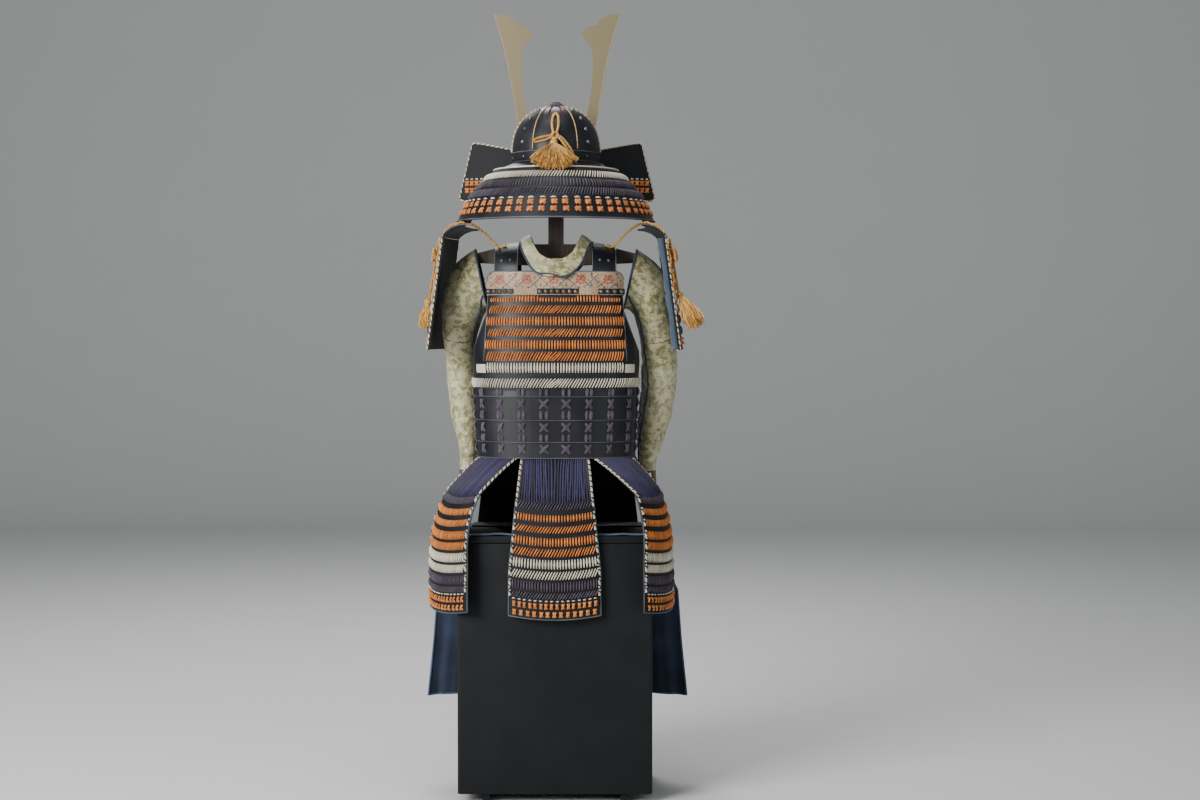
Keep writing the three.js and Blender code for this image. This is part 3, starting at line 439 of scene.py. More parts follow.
def smooth_path(points: Table, count: int) -> Array:
    """Evenly spaced points on a smooth curve.

    Args:
        points: the points that the curve goes through.
        count: how many points to give.

    Returns:
        An array of points.
    """
    corners = np.array(points, float)
    corners = np.vstack([2 * corners[0] - corners[1], corners, 2 * corners[-1] - corners[-2]])
    dense = []
    for a, b, c, d in zip(corners, corners[1:], corners[2:], corners[3:]):
        t = np.linspace(0, 1, 24, endpoint=False)[:, None]
        bend = (2 * a - 5 * b + 4 * c - d) * t**2 + (3 * b - a - 3 * c + d) * t**3
        dense.append(0.5 * (2 * b + (c - a) * t + bend))
    line = np.vstack([*dense, corners[-2:-1]])
    return even_line(line, count)


def travelled(line: Array) -> Array:
    """Distance along a line at each of its points."""
    steps = np.linalg.norm(np.diff(line, axis=0), axis=1)
    return np.concatenate([[0], np.cumsum(steps)])


def even_line(line: Array, count: int) -> Array:
    """Points spaced evenly along a line of many points."""
    length = travelled(line)
    wanted = np.linspace(0, length[-1], count)
    return np.column_stack([np.interp(wanted, length, line[:, axis]) for axis in range(3)])


def circle(radius: float, height: float, count: int) -> Array:
    """Points once round a level circle."""
    turn = np.linspace(0, 2 * np.pi, count)
    return np.stack([radius * np.cos(turn), radius * np.sin(turn), np.full(count, height)], -1)


def ring_faces(rings: int, sides: int) -> Array:
    """Faces of a closed bar whose points come ring by ring."""
    ring, corner = np.meshgrid(np.arange(rings - 1), np.arange(sides), indexing="ij")
    here, beside = ring * sides + corner, ring * sides + (corner + 1) % sides
    walls = np.stack([here, beside, beside + sides, here + sides], -1).reshape(-1, 4)
    cap = cap_faces(sides // 2)
    return np.vstack([walls, cap, cap[:, ::-1] + (rings - 1) * sides])


def cap_faces(half: int) -> Array:
    """Faces that close a ring of twice as many points."""
    step = np.arange(half - 1)
    last = 2 * half - 1
    return np.stack([step, last - step, last - 1 - step, step + 1], -1)


def line_frames(path: Array) -> tuple[Array, Array]:
    """Two directions square to a path at each of its points, with no twist."""
    ahead = unit(np.gradient(path, axis=0))
    start = np.array([0.0, 0.0, 1.0]) if abs(ahead[0][2]) < 0.9 else np.array([1.0, 0.0, 0.0])
    across = [unit(np.cross(ahead[0], start))]
    for direction in ahead[1:]:
        kept = across[-1] - direction * np.dot(across[-1], direction)
        across.append(unit(kept))
    across = np.array(across)
    return across, np.cross(ahead, across)


class Surface(ABC):
    """A curved face of the armour that laces, studs and cords are laid on."""

    @abstractmethod
    def points(self, across: Array, down: Array, out: Array) -> Array:
        """Points in millimetres.

        Args:
            across: places along the face.
            down: places up or down the face.
            out: distances off the face.

        Returns:
            One point for each place.
        """

    def at(self, across: Places, down: Places, out: Places) -> Array:
        """Points from any mix of numbers and arrays."""
        values = [np.asarray(value, float) for value in (across, down, out)]
        return self.points(*np.broadcast_arrays(*values))

    def studs(self, across: Places, down: Places, out: Places) -> tuple[Array, Array]:
        """Places on the face, and the ways out of it there."""
        places = self.at(across, down, out)
        return places, unit(places - self.at(across, down, np.asarray(out) - 2.0))

    def even(self, start: float, end: float, level: float, pitch: float) -> Array:
        """Middles of equal steps along the face at one level."""
        across = np.linspace(start, end, 361)
        line = self.at(across, level, 0)
        length = travelled(line)
        count = max(1, round(length[-1] / pitch))
        return np.interp((np.arange(count) + 0.5) / count * length[-1], length, across)

    def line(self, across: Places, down: Places, out: Places, count: int = 48) -> Array:
        """A line on the face, between two places or through many."""
        columns = [np.atleast_1d(np.asarray(v, float)) for v in (across, down, out)]
        size = max(len(column) for column in columns)
        columns = [np.interp(np.linspace(0, 1, size), np.linspace(0, 1, len(c)), c) for c in columns]
        line = self.points(*[np.interp(np.linspace(0, size - 1, 400), np.arange(size), c) for c in columns])
        return even_line(line, count)


class MeshMaker:
    """Collects four-sided faces in millimetres and makes one object of them."""

    def __init__(self) -> None:
        """Starts with nothing."""
        self.points: list[Array] = []
        self.faces: list[Array] = []
        self.tones: list[Array] = []
        self.count = 0

    def add(self, points: Array, faces: Array, tones: Array | None = None) -> None:
        """Adds points, faces that count from the first of them, and each face's tone."""
        self.points.append(points.reshape(-1, 3))
        self.faces.append(faces.reshape(-1, 4) + self.count)
        self.tones.append(np.zeros(len(self.faces[-1]), int) if tones is None else tones)
        self.count += len(self.points[-1])

    def bars(
        self, centres: Array, across: Array, off: Array, wide: Array, thick: Array, sides: int = 6
    ) -> None:
        """Adds closed bars, each through a row of rings.

        Args:
            centres: the rings' centres, by bar and ring.
            across: the direction of each ring's width.
            off: the direction of each ring's thickness.
            wide: each ring's half width.
            thick: each ring's half thickness.
            sides: corners in a ring, an even number.
        """
        bars, rings = centres.shape[:2]
        turn = 2 * np.pi * (np.arange(sides) + 0.5) / sides
        wide = np.broadcast_to(wide, (bars, rings))[..., None, None]
        thick = np.broadcast_to(thick, (bars, rings))[..., None, None]
        points = (
            centres[:, :, None]
            + across[:, :, None] * wide * np.cos(turn)[None, None, :, None]
            + off[:, :, None] * thick * np.sin(turn)[None, None, :, None]
        )
        faces = ring_faces(rings, sides)
        starts = np.arange(bars)[:, None, None] * rings * sides
        self.add(points, faces[None] + starts, np.repeat(DICE.randint(0, 3, bars), len(faces)))

    def laid(
        self, surface: Surface, across: Array, down: Array, out: Array, wide: float, thick: float,
        ends: float = 0.55, sides: int = 6,
    ) -> None:
        """Adds bars that lie on a face.

        Args:
            surface: the face.
            across: places along it, by bar and ring.
            down: places down it, by bar and ring.
            out: distances off it, by bar and ring.
            wide: the bars' width.
            thick: the bars' thickness.
            ends: size of a bar's end rings, as a share.
            sides: corners in a ring.
        """
        shape = np.broadcast_shapes(across.shape, down.shape, out.shape)
        across, down, out = (np.broadcast_to(v, shape).astype(float) for v in (across, down, out))
        centres = surface.points(across, down, out)
        off = unit(surface.points(across, down, out + 1.0) - surface.points(across, down, out - 1.0))
        ahead = unit(np.gradient(centres, axis=1))
        side = unit(np.cross(ahead, off))
        size = np.ones(shape[1])
        size[[0, -1]] = ends
        if shape[1] > 4:
            size[[1, -2]] = 0.5 + ends / 2
        self.bars(centres, side, unit(np.cross(side, ahead)), size * wide / 2, size * thick / 2, sides)

    def tube(self, path: Array, radius: Places, sides: int = 8) -> None:
        """Adds a round cord along a path."""
        across, off = line_frames(path)
        size = np.broadcast_to(radius, len(path))
        self.bars(path[None], across[None], off[None], size, size, sides)

    def rope(self, path: Array, radius: float, lay: float, plies: int = 2) -> None:
        """Adds a twisted cord.

        Args:
            path: points along its middle.
            radius: its outer radius.
            lay: length of one turn.
            plies: how many strands are twisted together.
        """
        length = travelled(path)[-1]
        path = even_line(path, max(8, int(length / lay * 8)))
        across, off = line_frames(path)
        turn = np.linspace(0, 2 * np.pi * length / lay, len(path))
        for ply in range(plies):
            angle = (turn + 2 * np.pi * ply / plies)[:, None]
            self.tube(path + (across * np.cos(angle) + off * np.sin(angle)) * radius * 0.48, radius * 0.58, 6)

    def shell(self, outer: Array, inner: Array, wrap: bool = False) -> None:
        """Adds a closed wall between two grids of points.

        Args:
            outer: the outer face, by column and row.
            inner: the inner face, by column and row.
            wrap: whether the last column joins the first.
        """
        columns, rows = outer.shape[:2]
        ring = np.concatenate([outer, inner[:, ::-1]], 1)
        size = 2 * rows
        spans = columns if wrap else columns - 1
        column, corner = np.meshgrid(np.arange(spans), np.arange(size), indexing="ij")
        here = column * size + corner
        beside = column * size + (corner + 1) % size
        total = columns * size
        faces = [np.stack([here, beside, (beside + size) % total, (here + size) % total], -1).reshape(-1, 4)]
        if not wrap:
            cap = cap_faces(rows)
            faces += [cap, cap[:, ::-1] + (columns - 1) * size]
        self.add(ring, np.vstack(faces))

    def domes(self, centres: Array, off: Array, radius: float, height: float, sides: int = 10) -> None:
        """Adds round-headed studs or rivets, each sunk a little into its face."""
        start = np.where(np.abs(off[:, 2:3]) < 0.9, [[0.0, 0.0, 1.0]], [[1.0, 0.0, 0.0]])
        across = unit(np.cross(off, start))
        other = np.cross(off, across)
        rise = np.array([-0.3, 0.0, 0.45, 0.8, 1.0])
        size = np.array([1.0, 1.0, 0.86, 0.52, 0.1]) * radius
        centres = centres[:, None] + off[:, None] * (rise * height)[None, :, None]
        across, other = (np.broadcast_to(way[:, None], centres.shape) for way in (across, other))
        self.bars(centres, across, other, size, size, sides)

    def make(self, name: str, finish: Finish, replaces: Sequence[str] = ()) -> bpy.types.Object:
        """Makes the object, dresses it and sets it on the frame.

        Args:
            name: the object's name.
            finish: its finish.
            replaces: the frame's nodes that it stands for.

        Returns:
            The object.
        """
        mesh = bpy.data.meshes.new(name)
        mesh.from_pydata((np.vstack(self.points) * MM).tolist(), [], np.vstack(self.faces).tolist())
        mesh.validate()
        mesh.polygons.foreach_set("use_smooth", [True] * len(mesh.polygons))
        mesh.set_sharp_from_angle(angle=np.radians(HARD_EDGE))
        piece = bpy.data.objects.new(name, mesh)
        bpy.context.scene.collection.objects.link(piece)
        outwards(mesh)
        for tone in finish.tones():
            mesh.materials.append(tone.material())
        tones = np.concatenate(self.tones) % len(mesh.materials)
        mesh.polygons.foreach_set("material_index", tones)
        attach(piece, BODY)
        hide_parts(*replaces)
        LOG.info("%s: %d faces", name, len(mesh.polygons))
        return piece


def outwards(mesh: bpy.types.Mesh) -> None:
    """Turns every face of a mesh of closed shells outwards."""
    work = bmesh.new()
    work.from_mesh(mesh)
    bmesh.ops.recalc_face_normals(work, faces=work.faces)
    work.to_mesh(mesh)
    work.free()


def dress(node: str, finish: Finish) -> None:
    """Gives a frame node its finish."""
    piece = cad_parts[node]
    piece.data.materials.clear()
    piece.data.materials.append(finish.material())
    LOG.info("%s: dressed", node)


# Faces of the armour


def column(table: Table, at: Array, key: int, value: int) -> Array:
    """One column of a table, looked up by another that rises or falls."""
    rows = sorted(table, key=lambda row: row[key])
    return np.interp(at, [row[key] for row in rows], [row[value] for row in rows])


def signed_power(value: Array, power: float) -> Array:
    """A power that keeps the value's sign."""
    return np.sign(value) * np.abs(value) ** power


class BodyFace(Surface):
    """Outer face of the cuirass: across is the angle in plan, down is the height."""

    PLAN = (
        (792, 186, 122), (951, 194, 126), (1018, 198, 128),
        (1100, 192, 128), (1170, 186, 125), (1230, 184, 120),
    )
    POWER = 2.5

    def points(self, across: Array, down: Array, out: Array) -> Array:
        """Points on the rounded plan, moved out along its normal."""
        wide, deep = column(self.PLAN, down, 0, 1), column(self.PLAN, down, 0, 2)
        sine, cosine = np.sin(np.radians(across)), np.cos(np.radians(across))
        x, y = signed_power(sine, 2 / self.POWER), signed_power(cosine, 2 / self.POWER)
        slopes = [signed_power(x, self.POWER - 1) / wide, signed_power(y, self.POWER - 1) / deep]
        normal = unit(np.stack(slopes, -1))
        x, y = wide * x + normal[..., 0] * out, deep * y + normal[..., 1] * out
        return np.stack([x, y, down + 0.0 * out], -1)


@dataclass
class HelmetPlan:
    """Plan of the helmet: an oval for each half width at the sides."""

    middle: float = -8.0
    bowl: float = 103.0
    rim: float = 234.0
    longer: float = 12.0

    def place(self, angle: Array, width: Array, height: Array) -> Array:
        """Points on the oval of each half width."""
        share = np.clip((width - self.bowl) / (self.rim - self.bowl), 0, 1)
        deep = width * (1 + self.longer / self.bowl * (1 - share))
        angle = np.radians(angle)
        return np.stack([width * np.sin(angle), self.middle + deep * np.cos(angle), height + 0.0 * angle], -1)


@dataclass
class BowlFace(Surface):
    """Outside of the bowl: down is degrees from the base (0) to the crown (90)."""

    plan: HelmetPlan = field(default_factory=HelmetPlan)
    base: float = 1508.3
    height: float = 110.0
    fullness: float = 2.25

    def points(self, across: Array, down: Array, out: Array) -> Array:
        """Points on a dome that is fuller than a sphere."""
        rise = np.radians(np.clip(down, 0, 89.9))
        width = self.plan.bowl * np.cos(rise) ** (2 / self.fullness)
        height = self.height * np.sin(rise) ** (2 / self.fullness)
        power = self.fullness - 1
        slopes = [
            (width / self.plan.bowl) ** power / self.plan.bowl,
            (height / self.height) ** power / self.height,
        ]
        normal = unit(np.stack(slopes, -1))
        width, height = width + normal[..., 0] * out, height + normal[..., 1] * out
        return self.plan.place(across, width, self.base + height)


@dataclass
class LameFace(Surface):
    """One sloping plate round the helmet: down is the distance down its slope."""

    top_width: float
    top: float
    bottom_width: float
    bottom: float
    plan: HelmetPlan = field(default_factory=HelmetPlan)

    @property
    def length(self) -> float:
        """Length of the slope."""
        return float(np.hypot(self.bottom_width - self.top_width, self.bottom - self.top))

    def points(self, across: Array, down: Array, out: Array) -> Array:
        """Points on the slope, moved out square to it."""
        run = (self.bottom_width - self.top_width) / self.length
        fall = (self.bottom - self.top) / self.length
        width, level = self.top_width + run * down - fall * out, self.top + fall * down + run * out
        return self.plan.place(across, width, level)


@dataclass
class GuardFace(Surface):
    """Outer face of a shoulder guard: across runs from front (-1) to back (1)."""

    side: int
    turn: float
    top: float = 1310.0
    bottom: float = 1046.0
    top_x: float = 264.0
    bottom_x: float = 300.0
    half: float = 128.0
    bow: float = 14.0

    @property
    def length(self) -> float:
        """Length of the face from its top edge to its lower one."""
        return float(np.hypot(self.bottom_x - self.top_x, self.bottom - self.top))

    def points(self, across: Array, down: Array, out: Array) -> Array:
        """Points on the bowed face."""
        run = (self.bottom_x - self.top_x) / self.length
        fall = (self.bottom - self.top) / self.length
        x = self.top_x + run * down - fall * out + self.sway(across)
        return np.stack([self.side * x, self.half * across + 0.0 * x, self.top + fall * down + run * out], -1)

    def sway(self, across: Places) -> Places:
        """How far the bow and the turn move a place sideways."""
        return self.turn * across - self.bow * across**2

    def over(self, path: Table, out: float) -> list[tuple[float, ...]]:
        """Points over the top plate, from rows of distance, height and place along."""
        deep = self.half * 0.94
        return [(self.side * (x + self.sway(along) + out), deep * along, z) for x, z, along in path]


@dataclass
class TassetFace(Surface):
    """Outer face of one tasset: across is -1 to 1, down is from its first row's top."""

    start: float
    end: float
    facing: float
    arc: float
    half: float
    top: float
    x: float
    y: float
    hem_x: float
    hem_y: float
    length: float = 271.0
    laces: float = 92.0
    waist: float = 793.7
    top_share: float = 0.84
    smile: float = 9.0
    body: BodyFace = field(default_factory=BodyFace)

    def rows(self, across: Array, down: Array, out: Array) -> Array:
        """Points on the rows' part."""
        facing = np.radians(self.facing)
        share = down / self.length
        spread = across * self.half * (self.top_share + (1 - self.top_share) * np.minimum(share * 1.6, 1))
        settle = 1 - (1 - share) ** 4
        bulge = out - spread**2 / (2 * self.arc)
        x = self.x + (self.hem_x - self.x) * settle + np.cos(facing) * spread + np.sin(facing) * bulge
        y = self.y + (self.hem_y - self.y) * settle - np.sin(facing) * spread + np.cos(facing) * bulge
        return np.stack([x, y, self.top - down + self.smile * across**2 + 0.0 * x], -1)

    def points(self, across: Array, down: Array, out: Array) -> Array:
        """Points on the rows, and above them on the laces that spread from the waist."""
        across, down, out = np.broadcast_arrays(*[np.asarray(v, float) for v in (across, down, out)])
        low = self.rows(across, np.maximum(down, 0), out)
        share = np.clip(1 + down / self.laces, 0, 1)[..., None]
        angle = self.start + (self.end - self.start) * (across + 1) / 2
        held = self.body.points(angle, np.full_like(across, self.waist), out)
        end = self.rows(across, np.zeros_like(down), out)
        high = held + (end - held) * share
        high[..., 2] = self.waist + (end[..., 2] - self.waist) * share[..., 0] ** 1.15
        return np.where((down < 0)[..., None], high, low)


@dataclass
class SleeveFace(Surface):
    """Outside of a sleeve: across is the angle round it, down is 0 at the shoulder to 1."""

    side: int
    rings: Table

    def points(self, across: Array, down: Array, out: Array) -> Array:
        """Points on rings that run smoothly from the shoulder to the wrist."""
        table = np.array(self.rings, float)
        length = travelled(table[:, :3])
        length /= length[-1]
        x, y, z, heading, wide, long = (soft_interp(down, length, table[:, at]) for at in range(6))
        heading, turn = np.radians(heading), np.radians(across)
        lift = (wide + out) * np.cos(turn)
        x, y = x + lift * np.sin(heading), y + (long + out) * np.sin(turn)
        return np.stack([self.side * x, y, z + lift * np.cos(heading)], -1)


def soft_interp(at: Array, places: Array, values: Array) -> Array:
    """Value between table rows, with a slope that doesn't jump at a row."""
    slopes = np.gradient(values, places)
    index = np.clip(np.searchsorted(places, at, "right") - 1, 0, len(places) - 2)
    step = places[index + 1] - places[index]
    t = np.clip((at - places[index]) / step, 0, 1)
    first = (1 + 2 * t) * (1 - t) ** 2 * values[index] + t * (1 - t) ** 2 * step * slopes[index]
    return first + t**2 * (3 - 2 * t) * values[index + 1] + t**2 * (t - 1) * step * slopes[index + 1]


@dataclass
class CollarFace(Surface):
    """Neck band: across is the angle in plan, down is 0 at its lower edge to 1 at its upper."""

    lower: tuple[float, ...] = (84.3, 134.0, 1216.0, 1299.0)
    upper: tuple[float, ...] = (60.0, 116.0, 1256.0, 1314.0)
    squareness: float = 0.4
    power: float = 3.0

    def edge(self, across: Array, sizes: Sequence[float]) -> Array:
        """Points on one edge, which dips at the back and front."""
        sine, cosine = np.sin(np.radians(across)), np.cos(np.radians(across))
        lift = np.abs(sine) ** self.power
        deep = sizes[1] * signed_power(cosine, self.squareness)
        return np.stack([sizes[0] * sine, deep, sizes[2] + (sizes[3] - sizes[2]) * lift], -1)

    def points(self, across: Array, down: Array, out: Array) -> Array:
        """Points between the two edges, moved out square to the band."""
        low, high = self.edge(across, self.lower), self.edge(across, self.upper)
        ahead = self.edge(across + 1.0, self.lower) - self.edge(across - 1.0, self.lower)
        normal = unit(np.cross(ahead, high - low))
        share = np.asarray(down)[..., None]
        return low + (high - low) * share - normal * np.asarray(out)[..., None]


@dataclass
class StrapFace(Surface):
    """Top of a shoulder strap: across is the distance from the middle, down the degrees over."""

    side: int
    body: BodyFace = field(default_factory=BodyFace)
    inner: float = 86.0
    rise: float = 72.0
    slope: float = 0.18
    top: float = 1228.0
    root: float = 1192.0

    def points(self, across: Array, down: Array, out: Array) -> Array:
        """Points on the arch over the shoulder, and on its two straight ends."""
        arch = np.clip(down, 0, 180)
        z = self.top - np.abs(down - arch) / 10 * (self.top - self.root)
        wide, full = column(self.body.PLAN, z, 0, 1), column(self.body.PLAN, z, 0, 2)
        deep = full * (1 - (np.abs(across) / wide) ** self.body.POWER) ** (1 / self.body.POWER) - 1
        rise = self.rise - (across - self.inner) * self.slope
        angle = np.radians(arch)
        deep, rise = deep + out, rise + out
        return np.stack([self.side * across + 0.0 * deep, deep * np.cos(angle), z + rise * np.sin(angle)], -1)


@dataclass
class ApronFace(Surface):
    """Front of a thigh guard panel: across is 0 at the middle to 1, down is the height."""

    side: int
    top: float = 569.7
    hem: float = 197.0
    front: float = 162.3
    split: float = 5.0
    edges: Table = (
        (197, 318, 46), (336, 304, 30), (453, 296, 12), (492, 276, 4), (567, 236, 0),
    )

    def points(self, across: Array, down: Array, out: Array) -> Array:
        """Points on the panel, whose folds deepen to the hem."""
        edge, back = column(self.edges, down, 0, 1), column(self.edges, down, 0, 2)
        drop = (self.top - down) / (self.top - self.hem)
        x = self.split + (edge - self.split) * across
        fold = 7 * drop * (1 - np.cos(np.radians(across * 360 * 2.5)))
        swing = back * np.maximum(0, (across - 0.76) / 0.24) ** 1.3
        return np.stack([self.side * x, -self.front - fold + swing - out, down + 0.0 * x], -1)


# Lacing


class Weave(Enum):
    """How the laces of a row run."""

    TALL = "upright laces side by side"
    SLANT = "slanted laces that cover each other"
    SLOTTED = "upright laces with gaps"
    SQUARES = "crossed pairs that stand apart"
    DASHES = "short level stitches"


@dataclass(frozen=True)
class Row:
    """One row of laces on a face.

    The places top, bottom and level are in the face's own measure. Rows with one level have
    their laces in line.
    """

    weave: Weave
    silk: Silk
    top: float
    bottom: float
    pitch: float = 6.8
    level: float | None = None


class Lacer:
    """Lays rows of laces, one mesh for each colour of silk.

    WIDTHS are shares of the pitch, and HEIGHTS are how far a lace stands off from top to bottom.
    """

    WIDTHS = {Weave.TALL: 0.66, Weave.SLOTTED: 0.54, Weave.SLANT: 0.5, Weave.SQUARES: 0.42}
    HEIGHTS = np.array([[0.4, 1.9, 2.5, 2.5, 1.9, 0.4]])
    LEAN = 1.35

    def __init__(self) -> None:
        """Starts with no laces."""
        self.makers: dict[str, tuple[Silk, MeshMaker]] = {}

    def maker(self, silk: Silk) -> MeshMaker:
        """The mesh that takes one colour's laces."""
        return self.makers.setdefault(silk.name, (silk, MeshMaker()))[1]

    def lay(self, surface: Surface, row: Row, start: float, end: float) -> None:
        """Lays one row.

        Args:
            surface: the face that it lies on.
            row: the row.
            start: where it starts along the face.
            end: where it ends.
        """
        maker = self.maker(row.silk)
        middle = (row.top + row.bottom) / 2
        places = surface.even(start, end, middle if row.level is None else row.level, row.pitch)[:, None]
        step = (end - start) / len(places)
        loose = DICE.uniform(-1, 1, (len(places), 2))
        places = places + loose[:, :1] * step * 0.06
        run = np.linspace(0, 1, 6)[None]
        down = row.top + (row.bottom - row.top) * run
        height = self.HEIGHTS + loose[:, 1:] * 0.25
        slant = 2 * run - 1
        wide = row.pitch * self.WIDTHS.get(row.weave, 1.0)
        if row.weave in (Weave.TALL, Weave.SLOTTED):
            maker.laid(surface, places + 0 * run, down, height, wide, 4.4)
        elif row.weave is Weave.SLANT:
            maker.laid(surface, places + step * self.LEAN * (run - 0.5), down, height, wide, 5.0, 0.7)
        elif row.weave is Weave.SQUARES:
            tall = row.bottom - row.top
            wide = min(wide, tall * 0.56)
            reach = (row.pitch * 0.78 - wide) / 2 * step / row.pitch
            inner = row.top + wide * 0.35 + (tall - wide * 0.7) * run
            for way, lift in ((-1, 0.0), (1, 0.9)):
                maker.laid(surface, places + way * reach * slant, inner, height + lift, wide, 3.8, 0.8)
        else:
            tall = abs(row.bottom - row.top)
            maker.laid(surface, places + step * 0.24 * slant, middle + 0 * run, height * 0.8, tall, 2.8)

    def block(self, surface: Surface, row: Row, start: float, end: float) -> None:
        """A plain padded strip with the height of a row, where no laces show."""
        across, down = np.linspace(start, end, 9)[:, None], np.linspace(row.top, row.bottom, 7)[None]
        swell = 3.4 * np.sqrt(np.clip(1 - np.linspace(-1, 1, 7)[None] ** 4, 0.04, 1))
        ends = np.clip(1 - np.linspace(-1, 1, 9)[:, None] ** 12, 0.3, 1)
        self.maker(row.silk).shell(surface.at(across, down, swell * ends), surface.at(across, down, 0.1))

    def braid(self, path: Array, radius: float, length: float) -> None:
        """Lays an edge braid along a path, with two white stitches to each dark one.

        Args:
            path: points along the edge.
            radius: the braid's radius.
            length: one stitch's length.
        """
        count = max(2, int(travelled(path)[-1] / length))
        line = even_line(path, count * 3 + 1)
        across, off = line_frames(line)
        size = np.array([0.75, 1.05, 1.05, 0.75]) * radius
        for way, (sign, phase) in enumerate(((1, 0), (-1, 1))):
            for silk, third in ((Finishes.white, False), (Finishes.dark_bead, True)):
                chosen = [at for at in range(count) if ((at * 2 + way + phase) % 3 == 2) is third]
                if not chosen:
                    continue
                index = np.array(chosen)[:, None] * 3 + np.arange(4)[None]
                lean = across[index] * np.linspace(-1, 1, 4)[None, :, None] * sign
                centres = line[index] + (lean * 0.5 + off[index] * sign * 0.25) * radius
                self.maker(silk).bars(centres, across[index], off[index], size, size, 6)

    def make(self, name: str) -> list[bpy.types.Object]:
        """Makes one object of each colour."""
        return [maker.make(f"{name}_{silk.name}", silk) for silk, maker in self.makers.values()]


def plate_shell(
    surface: Surface, across: Array, down: Array, thickness: float,
    relief: Relief | None = None, wrap: bool = False,
) -> MeshMaker:
    """Starts a mesh with a wall of even thickness behind a face.

    Args:
        surface: the face.
        across: its columns.
        down: its levels.
        thickness: the wall's thickness.
        relief: how far the face stands out at each place, if it isn't plain.
        wrap: whether the last column joins the first.

    Returns:
        The mesh.
    """
    maker = MeshMaker()
    columns, levels = np.meshgrid(np.asarray(across, float), np.asarray(down, float), indexing="ij")
    out = relief(columns, levels) if relief else np.zeros_like(columns)
    maker.shell(surface.points(columns, levels, out), surface.points(columns, levels, out - thickness), wrap)
    return maker


# Sub-assemblies


@dataclass
class Studio:
    """Plain pale floor and backdrop, soft lights and the camera."""

    pale: Colour = (0.68, 0.68, 0.67)
    camera_place: tuple[float, float, float] = (-0.104, 4.86, 1.092)
    pitch: float = -1.96
    lens: float = 61.5
    wall: float = 8.2
    bend: float = 1.8
    height: float = 9.0
    half: float = 14.0

    def build(self) -> None:
        """Makes the stage, the lights and the camera."""
        self.stage()
        self.light("key", (2.7, 3.1, 2.3), (0, 0, 1.1), 265, 2.2)
        self.light("fill", (-3.0, 3.4, 1.6), (0, 0, 0.9), 26, 2.4)
        self.light("front", (0.6, -3.0, 3.9), (0, 0, 1.0), 90, 1.6)
        self.light("overhead", (0.4, 0.6, 4.0), (0, 0, 1.0), 40, 1.8)
        world = bpy.data.worlds.new("studio")
        world.use_nodes = True
        inputs = world.node_tree.nodes["Background"].inputs
        inputs[0].default_value = (0.75, 0.78, 0.82, 1)
        inputs[1].default_value = 0.3
        bpy.context.scene.world = world
        data = bpy.data.cameras.new("camera")
        data.lens = self.lens
        camera = bpy.data.objects.new("camera", data)
        bpy.context.scene.collection.objects.link(camera)
        turn = Matrix.Rotation(np.pi, 4, "Z") @ Matrix.Rotation(np.radians(90 + self.pitch), 4, "X")
        camera.matrix_world = Matrix.Translation(self.camera_place) @ turn
        bpy.context.scene.camera = camera

    def stage(self) -> None:
        """Floor that curves up into a backdrop behind the armour."""
        foot = self.bend - self.wall
        turns = np.linspace(0.1, np.pi / 2, 12)
        profile = [(self.half, 0.0), (foot, 0.0)]
        profile += [(foot - np.sin(t) * self.bend, self.bend - np.cos(t) * self.bend) for t in turns]
        profile += [(-self.wall, self.height)]
        points = [(x, y, z) for y, z in profile for x in (-self.half, self.half)]
        faces = [(2 * i, 2 * i + 1, 2 * i + 3, 2 * i + 2) for i in range(len(profile) - 1)]
        mesh = bpy.data.meshes.new("floor")
        mesh.from_pydata(points, [], faces)
        mesh.polygons.foreach_set("use_smooth", [True] * len(mesh.polygons))
        floor = bpy.data.objects.new("floor", mesh)
        bpy.context.scene.collection.objects.link(floor)
        shader = Shader("pale_paper")
        tone = shader.blend(shader.noise(3.0, 2.0), self.pale, tuple(c * 0.97 for c in self.pale))
        mesh.materials.append(shader.set(Base_Color=tone, Roughness=0.85))

    @staticmethod
    def light(name: str, place: Sequence[float], aim: Sequence[float], power: float, size: float) -> None:
        """One soft square light.

        Args:
            name: its name.
            place: where it stands.
            aim: what it faces.
            power: its power in watts.
            size: its side in metres.
        """
        data = bpy.data.lights.new(name, "AREA")
        data.energy, data.size = power, size
        lamp = bpy.data.objects.new(name, data)
        lamp.location = place
        lamp.rotation_mode = "QUATERNION"
        lamp.rotation_quaternion = (Vector(aim) - Vector(place)).to_track_quat("-Z", "Y")
        bpy.context.scene.collection.objects.link(lamp)


